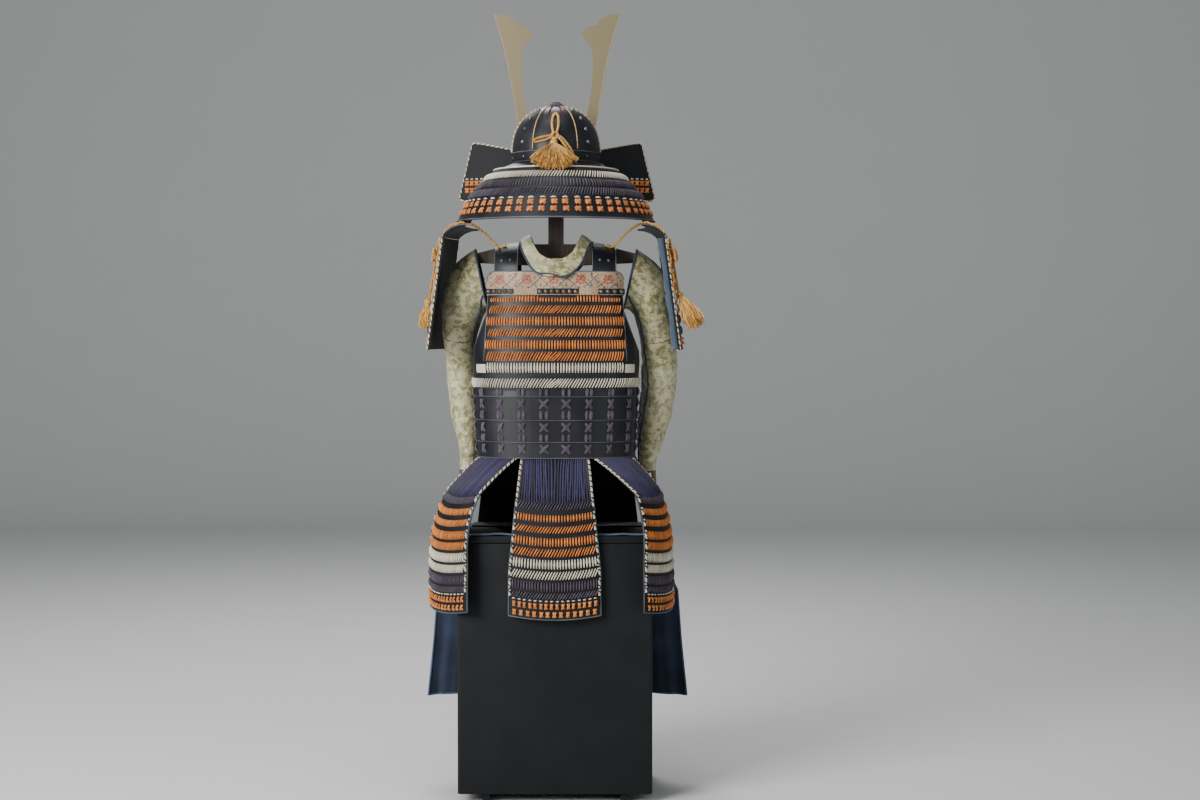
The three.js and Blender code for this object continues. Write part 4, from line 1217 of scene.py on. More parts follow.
@dataclass
class Chest:
    """Lacquered box on two runners, with the band of cloth that lies on its lid and also paints the highlight
    along the lid's rear edge.
    """

    width: float = 450.0
    depth: float = 320.0
    bottom: float = 20.0
    seam: float = 601.0
    top: float = 618.0
    corner: float = 7.0
    overhang: float = 2.0

    def build(self) -> None:
        """Makes the box, its lid and the band."""
        body, lid = MeshMaker(), MeshMaker()
        self.slab(body, 0, self.bottom, self.seam - 0.3, 2.0)
        self.slab(lid, self.overhang, self.seam, self.top, 3.0)
        body.make("chest_box", Finishes.chest, ["chest_body"])
        lid.make("chest_cover", Finishes.chest, ["chest_lid"])
        for side in ("left", "right"):
            dress(f"chest_runner_{side}", Finishes.chest)
        self.band()

    def slab(self, maker: MeshMaker, grow: float, bottom: float, top: float, edge: float) -> None:
        """Adds a block with rounded upright corners and softened edges."""
        turns = np.radians(np.arange(0, 360, 7.5) + 3.75)
        way = np.stack([np.cos(turns), np.sin(turns)], -1)
        straight = np.sign(way) * (np.array([self.width, self.depth]) / 2 + grow - self.corner)
        bevel = np.radians(np.linspace(0, 90, 4))
        levels = [(edge - edge * np.sin(t), bottom + edge - edge * np.cos(t)) for t in bevel]
        levels += [(edge - edge * np.cos(t), top - edge + edge * np.sin(t)) for t in bevel]
        rings = []
        for inset, z in levels:
            rings.append(np.column_stack([straight + (self.corner - inset) * way, np.full(len(way), z)]))
        maker.add(np.array(rings), ring_faces(len(rings), len(way)))

    def band(self) -> None:
        """Folded band of the thigh guard, lying along the lid's rear edge; its lighter blue satin is also a
        painted highlight along that edge.
        """
        maker = MeshMaker()
        x = np.linspace(-214, 214, 90)
        y = 148 + 2.5 * np.sin(x / 31) + 1.5 * np.sin(x / 13 + 1)
        z = self.top + 2.6 + 0.9 * np.sin(x / 23 + 2) + 0.5 * np.sin(x / 9)
        path = np.stack([x, y, z], -1)
        across = np.tile([0.0, 1.0, 0.0], (1, len(x), 1))
        up = np.tile([0.0, 0.0, 1.0], (1, len(x), 1))
        wide = 8 + 1.2 * np.sin(x / 19)
        maker.bars(path[None], across, up, wide, np.full(len(x), 2.1), 10)
        piece = maker.make("thigh_guard_band_and_lid_highlight", Finishes.satin)


class Stand:
    """Post, arms and head block that carry the armour."""

    def build(self) -> None:
        """Dresses the frame's own solids."""
        for node in ("stand_frame", "stand_head_block"):
            dress(node, Finishes.wood)


@dataclass
class Helmet:
    """Bowl, neck guard, turned-back plates, horns and the cords at the rear."""

    bowl: BowlFace = field(default_factory=BowlFace)
    plan: HelmetPlan = field(default_factory=HelmetPlan)
    spread: float = 115.0
    wall: float = 2.6
    lames: tuple[tuple[float, float, float, float], ...] = (
        (102, 1483.6, 147, 1466), (149, 1465.6, 172, 1442), (173, 1441.4, 191, 1420),
        (192, 1419.4, 210, 1396), (211, 1395.4, 234, 1346),
    )
    horn_edge: tuple[tuple[float, float], ...] = (
        (90, 1565), (104, 1640), (110.2, 1678), (129, 1769), (152.6, 1850),
    )
    band_level: float = 1495.5
    crown: float = 1618.1
    knot: float = 1541.0
    lacer: Lacer = field(default_factory=Lacer)

    def build(self) -> None:
        """Makes every piece of the helmet."""
        self.make_bowl()
        self.make_fittings()
        self.make_neck_guard()
        self.make_turnbacks()
        self.make_cords()
        for node in ("horn_mount", "horn_left", "horn_right"):
            dress(node, Finishes.brass)
        beads = MeshMaker()
        edge = smooth_path([(x - 1.7, -127.0, z) for x, z in self.horn_edge], 60)
        for side in (-1, 1):
            places = even_line(edge * np.array([side, 1, 1]), 42)
            beads.domes(places, np.tile([0.0, 1.0, 0.0], (42, 1)), 1.2, 1.0, 8)
        beads.make("horn_beaded_edges", Finishes.white)
        dress("helmet_visor", Finishes.black)

    def make_bowl(self) -> None:
        """Six-plate bowl with its piped ribs, stitched lines and rivets, some round its base."""
        rises = np.concatenate([np.linspace(0, 70, 22), np.linspace(73, 85.8, 8)])

        def relief(angle: Array, rise: Array) -> Array:
            """Plates that bulge between the ribs."""
            seam = np.abs(((angle - 30) % 60) - 30) / 30
            return 1.6 * (1 - seam**6) * np.cos(np.radians(rise)) ** 0.5 - 0.8

        maker = plate_shell(self.bowl, np.arange(0, 360, 3.0), rises, 1.8, relief, wrap=True)
        maker.make("helmet_bowl_plates", Finishes.black, ["helmet_bowl"])
        ribs, beads = MeshMaker(), MeshMaker()
        centre = np.array([0, self.plan.middle, self.bowl.base])
        for angle in np.arange(30, 390, 60):
            ribs.tube(self.bowl.line(angle, np.linspace(1, 80, 20), 0.8, 60), 1.25)
            bead, count = (2.6, 13) if angle % 180 == 90 else (0.95, 46)
            places = self.bowl.line(angle, np.linspace(2, 78, 20), 1.6, count)
            beads.domes(places, unit(places - centre), bead, bead * 1.1, 8)
        ribs.make("bowl_rib_piping", Finishes.gold)
        beads.make("bowl_rib_beads", Finishes.white)
        rivets = MeshMaker()
        for angle in (48.0, 132.0, 180.0, 228.0, 312.0):
            places, off = self.bowl.studs(angle, [9.0, 25.0, 42.0, 62.0], 0.7)
            rivets.domes(places, off, 4.8, 4.4, 12)
        turns = np.arange(15, 375, 30.0)
        places = self.plan.place(turns, 104.4, self.band_level)
        rivets.domes(places, unit(places - np.array([0, self.plan.middle, self.band_level])), 3.2, 2.4)
        rivets.make("bowl_rivets", Finishes.rivet)
        stitches = MeshMaker()
        for angle in (-13.0, 13.0):
            places = self.bowl.line(angle, np.linspace(80, 40, 12), 1.5, 15)
            stitches.domes(places, unit(places - centre), 1.7, 1.5, 6)
        stitches.make("bowl_stitched_lines", Finishes.red)

    def make_fittings(self) -> None:
        """Band round the bowl, and the braided finial at its crown."""
        band = MeshMaker()
        columns, levels = np.meshgrid(np.arange(0, 360, 4.0), np.linspace(1484, 1508, 7), indexing="ij")
        swell = 0.9 * np.cos(np.linspace(-1.5, 1.5, 7))[None] - 0.1
        outer = self.plan.place(columns, 103.8 + swell + 0 * columns, levels)
        band.shell(outer, self.plan.place(columns, 101.0, levels), wrap=True)
        band.make("bowl_base_band", Finishes.black, ["helmet_band"])
        edge = MeshMaker()
        for level, radius in ((1507.2, 1.2), (1485.0, 0.9)):
            edge.tube(self.plan.place(np.linspace(-180, 180, 160), 104.2, level), radius, 6)
        edge.make("bowl_band_lines", Finishes.edge)
        crown = MeshMaker()
        middle = np.array([0, self.plan.middle, self.crown])
        for radius, size, rise in ((16.5, 3.0, 2.2), (12.0, 2.8, 6.0), (7.5, 2.6, 9.4)):
            crown.rope(middle + circle(radius, rise, 70), size, 7.0, 3)
        crown.make("crown_braid", Finishes.purple)
        dome = MeshMaker()
        dome.domes(middle[None] - [[0, 0, 0.5]], np.array([[0.0, 0.0, 1.0]]), 15.0, 13.5, 20)
        dome.make("crown_dome", Finishes.crown, ["helmet_finial"])

    def make_neck_guard(self) -> None:
        """Five sloping plates, the laces on four of them and the piped rims."""
        columns = np.linspace(-self.spread, self.spread, 81)
        faces = [LameFace(*sizes) for sizes in self.lames]
        for number, face in enumerate(faces, 1):
            maker = plate_shell(face, columns, np.linspace(0, face.length, 8), self.wall)
            maker.make(f"neck_guard_plate_{number}", Finishes.black, [f"neck_lame_{number}"])
        first, second, third, fourth, fifth = faces
        reach = self.spread - 1.0
        rims = MeshMaker()
        rims.tube(first.line((-reach, reach), first.length - 0.6, 1.6, 140), 1.9)
        rims.make("neck_guard_white_rim", Finishes.white)
        white, purple, orange = Finishes.white, Finishes.purple, Finishes.orange
        pitch, level = 26.5, 14
        rows = (
            (second, Row(Weave.SLANT, white, 13, second.length - 0.5)),
            (third, Row(Weave.SLOTTED, purple, 5, third.length - 1.5, 7.4)),
            (fourth, Row(Weave.SLANT, purple, 4, 25)),
            (fifth, Row(Weave.DASHES, white, 0.8, 4.8, pitch, level)),
            (fifth, Row(Weave.SQUARES, orange, 6.5, 22, pitch, level)),
            (fifth, Row(Weave.SQUARES, orange, 24.5, 40, pitch, level)),
        )
        for face, row in rows:
            self.lacer.lay(face, row, -reach, reach)
        hem = MeshMaker()
        hem.tube(fifth.line((-self.spread, self.spread), fifth.length - 1.2, 0.9, 160), 1.6)
        for sign in (-1, 1):
            for face in faces[1:]:
                hem.tube(face.line(sign * (self.spread - 0.3), (0.5, face.length - 0.5), 0.8, 14), 1.4)
        hem.make("neck_guard_edges", Finishes.edge)

    def turned(self, side: int, x: Array, off: Array, z: Array) -> Array:
        """Points of a turned-back plate, which stands upright and faces partly backwards."""
        tilt = np.radians(-26.9)
        x, off, z = np.broadcast_arrays(x, off, z)
        back = x * np.sin(tilt) + off * np.cos(tilt) + self.plan.middle
        return np.stack([side * (x * np.cos(tilt) - off * np.sin(tilt)), back, z], -1)

    def make_turnbacks(self) -> None:
        """Turned-back plates with stitched edges and two short rows of crosses."""
        top = ((106, 1520), (140, 1527), (180, 1535), (212, 1541), (227, 1541.5), (231, 1535))
        low = (
            (106, 1492), (128, 1483), (147, 1461), (168, 1440),
            (196, 1417), (226, 1405), (255, 1404), (265, 1412),
        )
        upper, lower = (smooth_path([(x, 0, z) for x, z in line], 30) for line in (top, low))
        rise = np.linspace(0, 1, 8)[None, :, None]
        grid = lower[:, None] + (upper - lower)[:, None] * rise
        around = np.vstack([lower, upper[::-1]])
        tilt, steps = np.linspace(-4.2, 4.2, 5), np.linspace(-3, 3, 4)
        for side, name in SIDES:
            maker = MeshMaker()
            outer, inner = (self.turned(side, grid[..., 0], off, grid[..., 2]) for off in (0.0, -2.4))
            maker.shell(outer, inner)
            maker.make(f"turned_back_plate_{name}", Finishes.inner_black, [f"helmet_turnback_{name}"])
            edge = self.turned(side, around[:, 0], 0.5, around[:, 2])
            self.lacer.braid(edge, 1.5, 4.4)
            crosses, dots = self.lacer.maker(Finishes.orange), self.lacer.maker(Finishes.white)
            for place in range(8):
                x, z = 243.0 - place // 2 * 13.5, 1446.0 - place % 2 * 17
                for way in (-1, 1):
                    crosses.tube(self.turned(side, x + tilt, 2.0 + way * 0.4, z + way * tilt * 1.2), 2.7, 6)
                if place % 2 == 0:
                    dots.tube(self.turned(side, x + steps, 1.4, z + 10), 1.6, 6)
        self.lacer.make("helmet")

    def rear(self, x: Array, z: Array, off: Array) -> Array:
        """Points off the back of the bowl."""
        share = np.clip((z - self.bowl.base) / self.bowl.height, 0, 0.999)
        width = self.plan.bowl * (1 - share**self.bowl.fullness) ** (1 / self.bowl.fullness)
        deep = (1 + self.plan.longer / self.plan.bowl) * np.sqrt(np.maximum(width**2 - x**2, 1.0))
        return np.stack([x, self.plan.middle + deep + off, z], -1)

    def make_cords(self) -> None:
        """Knotted bow at the rear of the bowl, with its tassel below."""
        loops = (
            ((-3, 1544, 4), (-8, 1566, 2), (-6, 1590, 5), (3, 1592, 5), (7, 1568, 2), (3, 1544, 4)),
            ((2, 1541, 5), (24, 1539, 1), (46, 1533, 1), (45, 1527, 1), (22, 1531, 1), (2, 1539, 6)),
            (
                (-2, 1541, 6), (-16, 1535, 8), (-33, 1514, 19), (-42, 1497, 24), (-38, 1493, 26),
                (-26, 1512, 22), (-12, 1532, 12), (-2, 1538, 8),
            ),
        )
        bow = MeshMaker()
        for points in loops:
            x, z, more = (np.array([p[at] for p in points], float) for at in range(3))
            bow.rope(smooth_path(self.rear(x, z, 3.1 + more), 90), 2.9, 8.0)
        around = np.linspace(0, 2 * np.pi, 40)
        for lift, turn in ((0, 0.3), (2.6, 1.3), (5.0, 2.2)):
            x = 6.5 * np.cos(around) + 1.5 * np.cos(turn)
            ring = np.stack([x, 2.0 * np.sin(around * 2), 6.0 * np.sin(around)], -1)
            bow.rope(self.rear(0.0, self.knot, 5.0 + lift) + ring, 2.8, 8.0)
        bow.make("rear_bow", Finishes.gold, ["helmet_bow"])
        tassel = Tassel(
            (2, 114.2, 1524.2), 42.0, 68.0, 60.0, head=9.0, strands=420, lift=1.5, curl=2.9,
        )
        tassel.build("rear_tassel", ["helmet_tassel"])


@dataclass
class Tassel:
    """Bound head with fine strands that fan out from it.

    Attributes:
        place: the head's middle.
        lean: how far the strands' tips lie off straight down, to the rear.
        length: the longest strand.
        spread: half angle of the fan, in degrees.
        head: the bound head's radius.
        lift: how far the strands bulge off what they hang on, as a share.
        curl: how far the strands wave.
        thick: half the depth of the fan at its tips.
        turn: turns the whole tassel, if it doesn't hang at the rear.
    """

    place: tuple[float, float, float]
    lean: float
    length: float
    spread: float
    head: float = 8.0
    strands: int = 260
    lift: float = 0.0
    curl: float = 2.4
    thick: float = 12.0
    turn: Callable[[Array], Array] | None = None

    def build(self, name: str, replaces: Sequence[str]) -> None:
        """Makes the strands and the wound head as one piece."""
        maker = MeshMaker()
        fan = np.radians(DICE.uniform(-self.spread, self.spread, self.strands))
        depth = DICE.uniform(-1, 1, self.strands) * np.sqrt(DICE.uniform(0, 1, self.strands))
        reach = self.length * DICE.uniform(0.74, 1, self.strands)
        tips = np.stack([reach * np.sin(fan), self.lean + depth * self.thick, -reach * np.cos(fan)], -1)
        run = np.linspace(0.04, 1, 10)[None]
        line = tips[:, None] * run[..., None]
        line[..., 1] += (depth[:, None] * 5 + self.lift * 12) * np.sin(np.pi * run)
        line[..., 2] -= 7 * run**2 * np.abs(np.sin(fan))[:, None]
        phase, rate = DICE.uniform(0, 6.3, (2, self.strands, 1)), DICE.uniform(8, 19, (2, self.strands, 1))
        line[..., 0] += np.sin(run * rate[0] + phase[0]) * run**0.7 * self.curl
        line[..., 1] += np.sin(run * rate[1] + phase[1]) * run**0.7 * self.curl
        side = np.broadcast_to(np.array([1.0, 0.2, 0.1]), line.shape)
        ahead = unit(np.gradient(line, axis=1))
        across = unit(np.cross(ahead, side))
        size = np.array([0.8, 1.0, 1.1, 1.15, 1.2, 1.2, 1.2, 1.15, 1.1, 0.8]) * 0.85
        origin = np.array(self.place)
        off = unit(np.cross(ahead, across))
        maker.bars(origin + self.turned(line), self.turned(across), self.turned(off), size, size, 4)
        for level in np.linspace(-0.75, 0.9, 6):
            ring = circle(self.head * np.sqrt(1 - level**2) * 0.8, level * self.head, 26)
            maker.tube(origin + self.turned(ring), self.head * 0.24, 6)
        maker.make(name, Finishes.gold, replaces)

    def turned(self, vectors: Array) -> Array:
        """Vectors turned with the whole tassel."""
        if self.turn is None:
            return vectors
        return self.turn(vectors.reshape(-1, 3)).reshape(vectors.shape)


@dataclass
class Cuirass:
    """Waist, laced back and front, side wings, printed plates and shoulder straps."""

    face: BodyFace = field(default_factory=BodyFace)
    plate: float = 3.0
    half: float = 53.7
    rows: tuple[tuple[float, float], ...] = (
        (1041, 1020.5), (1068, 1048), (1094, 1076.5), (1122, 1102.5), (1148, 1130.5), (1170, 1156),
    )
    tiers: tuple[float, ...] = (794, 831, 882, 937, 951)
    columns: int = 24
    belt: float = 951.0
    rim: float = 1018.0
    lacer: Lacer = field(default_factory=Lacer)
    edges: MeshMaker = field(default_factory=MeshMaker)

    def build(self) -> None:
        """Makes every piece of the cuirass."""
        self.make_waist()
        for centre, name in ((0, "back"), (180, "front")):
            self.make_laced_plate(centre, name)
            self.make_top_plate(centre, name)
        self.make_wings()
        self.make_straps()
        self.lacer.make("cuirass")
        self.edges.make("cuirass_piped_edges_and_highlight_lines", Finishes.edge)

    def make_waist(self) -> None:
        """Four tiers of plates with crossed laces, below two white rows."""
        levels = []
        for low, high in zip(self.tiers, self.tiers[1:]):
            levels += [low, low + 0.6, (low + high) / 2, high - 0.01]
        levels += [self.belt, 985, self.rim]

        def relief(angle: Array, z: Array) -> Array:
            """Tiers that overlap, with fine scales."""
            above = np.searchsorted(self.tiers, z, "right")
            low = np.array(self.tiers)[np.clip(above - 1, 0, 4)]
            high = np.append(self.tiers, self.rim)[np.clip(above, 1, 5)]
            lame = 2.0 * (1 - (z - low) / (high - low)) + 0.35 * np.abs(np.sin(np.radians(angle) * 34))
            return lame * (z < self.belt) - 0.2

        maker = plate_shell(self.face, np.arange(0, 360, 2.0), levels, self.plate, relief, wrap=True)
        maker.make("waist_plates", Finishes.black, ["waist_back", "waist_front"])
        round_waist = np.linspace(-180, 180, 200)
        # The grey lines at the tier edges are painted highlights where light catches the top edge of each
        # tier.
        for tier in self.tiers[1:4]:
            self.edges.tube(self.face.at(round_waist, tier + 0.3, 2.3), 0.8, 6)
        self.edges.tube(self.face.at(round_waist, 794.8, 1.9), 1.1, 6)
        self.lacer.lay(self.face, Row(Weave.SLANT, Finishes.white, 979, 958.5), -180, 180)
        for centre in (0, 180):
            row = Row(Weave.TALL, Finishes.white, 1015.5, 993)
            self.lacer.lay(self.face, row, centre - 49.6, centre + 49.6)
            for start, end in ((-67, -51.5), (51.5, 67)):
                row = Row(Weave.TALL, Finishes.white, 1012, 992)
                self.lacer.block(self.face, row, centre + start, centre + end)
        self.make_waist_laces()

    def make_waist_laces(self) -> None:
        """Upright pairs and crosses that tie the tiers."""
        places = self.face.even(-180, 180, 870, 1230 / self.columns)[:, None]
        maker = self.lacer.maker(Finishes.purple)
        wide = 8.6
        run = np.linspace(0, 1, 6)[None]
        for top, low in ((955, 938.5), (904, 884.5), (849.5, 833)):
            height = np.array([[1.2, 2.6, 3.2, 3.3, 3.0, 1.6]])
            for way in (-1, 1):
                maker.laid(self.face, places + way * 1.55, top + (low - top) * run, height, wide, 4.4, 0.6, 8)
        for top, low in ((931, 910), (876, 856), (825.5, 806)):
            height = np.array([[1.0, 2.2, 3.0, 3.0, 2.2, 1.0]])
            for way, lift in ((-1, 0.0), (1, 0.8)):
                across = places + way * 2.3 * (2 * run - 1)
                maker.laid(self.face, across, top + (low - top) * run, height + lift, wide, 4.0, 0.6, 8)

    def make_laced_plate(self, centre: float, name: str) -> None:
        """Black plate with six rows of orange laces.

        Args:
            centre: the angle of its middle.
            name: back or front.
        """
        columns = np.linspace(centre - self.half, centre + self.half, 61)
        lows = [low for _, low in self.rows]

        def relief(angle: Array, z: Array) -> Array:
            """Plates that each lean out to their lower edge."""
            index = np.clip(np.searchsorted(lows, z, "right") - 1, 0, 5)
            return 1.0 * (1 - (z - np.array(lows)[index]) / 26) - 0.3

        steps = [high for high, _ in self.rows] + [low - gap for low in lows[1:] for gap in (0, 0.4)]
        levels = sorted([self.rim + 0.3, 1172.7, *steps])
        maker = plate_shell(self.face, columns, levels, self.plate, relief)
        maker.make(f"{name}_laced_plate", Finishes.black, [f"{name}_plate"])
        *full, (_, last_low) = self.rows
        for number, (high, low) in enumerate(full):
            weave, inset = (Weave.TALL, 0.8) if number % 2 else (Weave.SLANT, 4.2)
            reach = self.half - inset
            self.lacer.lay(self.face, Row(weave, Finishes.orange, high, low), centre - reach, centre + reach)
        for start, end, more in (
            (-49.5, -29, 0.0), (-29, -11, 5.0), (-11, 7.5, 0.0), (7.5, 26.5, 5.0), (26.5, 49.5, 0.0),
        ):
            row = Row(Weave.TALL, Finishes.orange, 1166 + more, last_low + 1)
            self.lacer.lay(self.face, row, centre + start, centre + end)
        for sign in (-1, 1):
            edge = self.face.line(centre + sign * (self.half - 0.3), (1019, 1172), 1.0, 30)
            self.edges.tube(edge, 1.2, 6)

    def make_top_plate(self, centre: float, name: str) -> None:
        """Printed leather plate with florets, lozenges and three groups of studs.

        Args:
            centre: the angle of its middle.
            name: back or front.
        """
        half, corner, low, high = 54.6, 18.0, 1173.0, 1228.0
        spans = ((-half, -half + 9, 12), (-half + 10, half - 10, 40), (half - 9, half, 12))
        columns = np.concatenate([np.linspace(*span) for span in spans])
        edge = self.face.at(half, high, 0)[0]
        x = np.abs(self.face.at(columns, high, 0)[:, 0])
        lean = corner - np.minimum(edge - x, corner)
        tops = high - corner + np.sqrt(np.maximum(corner**2 - lean**2, 0))
        shares = np.linspace(0, 1, 10)
        levels = low + (tops[:, None] - low) * shares[None]
        angle = columns[:, None] + centre + 0 * levels
        swell = self.plate + 0.5 * np.cos((shares[None] - 0.5) * np.pi) + 0 * levels
        maker = MeshMaker()
        maker.shell(self.face.at(angle, levels, swell), self.face.at(angle, levels, 0.1))
        maker.make(f"{name}_printed_plate", Finishes.print, [f"{name}_top_plate"])
        rim = self.face.at(columns + centre, tops - 0.8, self.plate + 0.3)
        self.edges.tube(even_line(rim, 120), 1.3)
        florets, lozenges, studs = MeshMaker(), MeshMaker(), MeshMaker()
        top = self.plate + 0.35
        shift, level = 3.0, 1208
        for place in np.arange(-2, 3):
            x0 = place * 62.0 + shift
            for turn in np.radians(np.arange(8) * 45 + 10):
                x, z = x0 + 8.5 * np.cos(turn), level + 8.5 * np.sin(turn)
                self.spot(florets, centre, x, z, 3.4, top)
            self.spot(florets, centre, x0, level, 3.6, top)
            self.spot(lozenges, centre, x0, level, 1.4, top + 0.25)
        sprig = ((8, 0), (-8, 0), (0, 7), (0, -7), (15, 5), (-15, 5), (13, -6), (-13, -6))
        for place in np.arange(-5, 6):
            x0 = place * 29.0 + shift
            for z in (1221, 1195) if place % 2 else (1190,):
                self.spot(lozenges, centre, x0, z, 3.0, top, 4)
            for x, z in sprig if place % 2 else ():
                self.spot(lozenges, centre, x0 + x, 1207 + z, 2.0, top, 4)
        for lean in (-1, 1):
            for x0 in np.arange(-170.5, 171, 31.0):
                x, z = x0 + shift + lean * np.linspace(0, 40, 7), np.linspace(1226, 1189, 7)
                keep = (np.abs(x) < 150) & (z < 1226 - np.maximum(np.abs(x) - 134, 0) * 1.4)
                if keep.sum() > 2:
                    lozenges.tube(self.on_plate(centre, x[keep], z[keep], top + 0.15)[0], 0.8, 4)
        strip = MeshMaker()
        middle = 1181.0
        for start, end, count in ((101, 153, 5), (-48, 34, 7), (-152, -106, 4)):
            x = np.linspace(start - 7, end + 7, 12)[:, None]
            z = [[1174.5, middle, 1187.5]]
            outer, inner = (self.on_plate(centre, x, z, top + up)[0] for up in (0.5, -0.4))
            strip.shell(outer, inner)
            for x0 in np.linspace(start, end, count):
                places, off = self.on_plate(centre, [x0], middle, top + 0.5)
                studs.domes(places, off, 5.8, 4.4, 12)
                studs.domes(places + off * 4.0, off, 1.7, 1.8, 8)
        strip.make(f"{name}_plate_stud_strips", Finishes.black)
        florets.make(f"{name}_plate_florets", Finishes.floret)
        lozenges.make(f"{name}_plate_lozenges", Finishes.lozenge)
        studs.make(f"{name}_plate_studs", Finishes.stud)

    def on_plate(self, centre: float, x: Array, z: Places, out: float) -> tuple[Array, Array]:
        """Points at distances from the plate's middle line, and the ways out of the face there."""
        x, z = np.broadcast_arrays(np.asarray(x, float), z)
        share = np.clip(np.abs(x) / column(self.face.PLAN, z, 0, 1), 0, 0.98)
        angle = np.degrees(np.arcsin(share ** (self.face.POWER / 2))) * np.sign(x)
        return self.face.studs(180 - angle if centre else angle, z, out)

    def spot(
        self, maker: MeshMaker, centre: float, x: float, z: float, radius: float, out: float, sides: int = 8
    ) -> None:
        """Adds one thin raised spot of the print."""
        place, off = self.on_plate(centre, [x], z, out)
        across = unit(np.cross(off, [[0.0, 0.0, 1.0]]))
        centres = place[:, None] + off[:, None] * np.array([-0.2, 0.25, 0.4])[None, :, None]
        across, up = (np.broadcast_to(way[:, None], centres.shape) for way in (across, np.cross(off, across)))
        size = np.array([1.0, 0.95, 0.6]) * radius
        maker.bars(centres, across, up, size, size, sides)

    def make_wings(self) -> None:
        """Plain plates under the arms, with the armhole's dip and a piped edge."""
        first = self.half + 0.15
        for side, name in SIDES:
            columns = np.linspace(first, 180 - first, 41)
            tops = 1040 + 95 * ((columns - 90) / 36) ** 2
            low = self.rim + 0.3
            levels = low + (tops[:, None] - low) * np.linspace(0, 1, 7)[None]
            angle = side * columns[:, None] + 0 * levels
            maker = MeshMaker()
            maker.shell(self.face.at(angle, levels, 0), self.face.at(angle, levels, -self.plate))
            maker.make(f"side_wing_plate_{name}", Finishes.black, [f"side_wing_{name}"])
            self.edges.tube(even_line(self.face.at(side * columns, tops - 0.3, -1.2), 110), 2.1)

    def make_straps(self) -> None:
        """Shoulder straps with their toggles."""
        for side, name in SIDES:
            face = StrapFace(side)
            over = np.concatenate([[-10, -5], np.linspace(0, 180, 41), [185, 190]])
            across = np.linspace(86, 142, 9)
            maker = plate_shell(
                face, across, over, 4.0, lambda x, _: 0.8 * np.cos((x - 114) / 28 * 1.4) - 0.3
            )
            maker.make(f"shoulder_strap_plate_{name}", Finishes.black, [f"shoulder_strap_{name}"])
            for x in (87, 141):
                self.edges.tube(face.line(x, np.linspace(-8, 188, 30), 0.2, 90), 1.3, 6)
            for down in (22.0, 158.0):
                for x in (104.0, 124.0):
                    self.edges.domes(*face.studs([x], down, 1.0), 3.6, 3.0)


@dataclass
class Collar:
    """Brocade neck band with a blue piped lower edge."""

    face: CollarFace = field(default_factory=CollarFace)

    def build(self) -> None:
        """Makes the band and its piping."""
        maker = MeshMaker()

        def relief(angle: Array, share: Array) -> Array:
            """A padded band that puckers at the top."""
            turn = np.radians(angle)
            pucker = np.sin(turn * 13 + share * 2) * 1.2 + np.sin(turn * 29 + 1) * 0.6
            return 1.4 + 1.6 * np.sin(share * np.pi) + pucker * share

        columns, levels = np.meshgrid(np.arange(0, 360, 3.0), np.linspace(0, 1, 9), indexing="ij")
        outer = self.face.at(columns, levels, relief(columns, levels))
        maker.shell(outer, self.face.at(columns, levels, -1.6), wrap=True)
        piece = maker.make("neck_band_brocade", Finishes.brocade, ["neck_collar"])
        pipe = MeshMaker()
        turns = np.linspace(-180, 180, 160)
        sway = 0.07 * np.sin(np.radians(turns) * 5 + 0.6) + 0.04 * np.sin(np.radians(turns) * 9)
        pipe.tube(self.face.points(turns, sway, 0 * turns), 2.7)
        pipe.make("neck_band_piping", Finishes.piping)


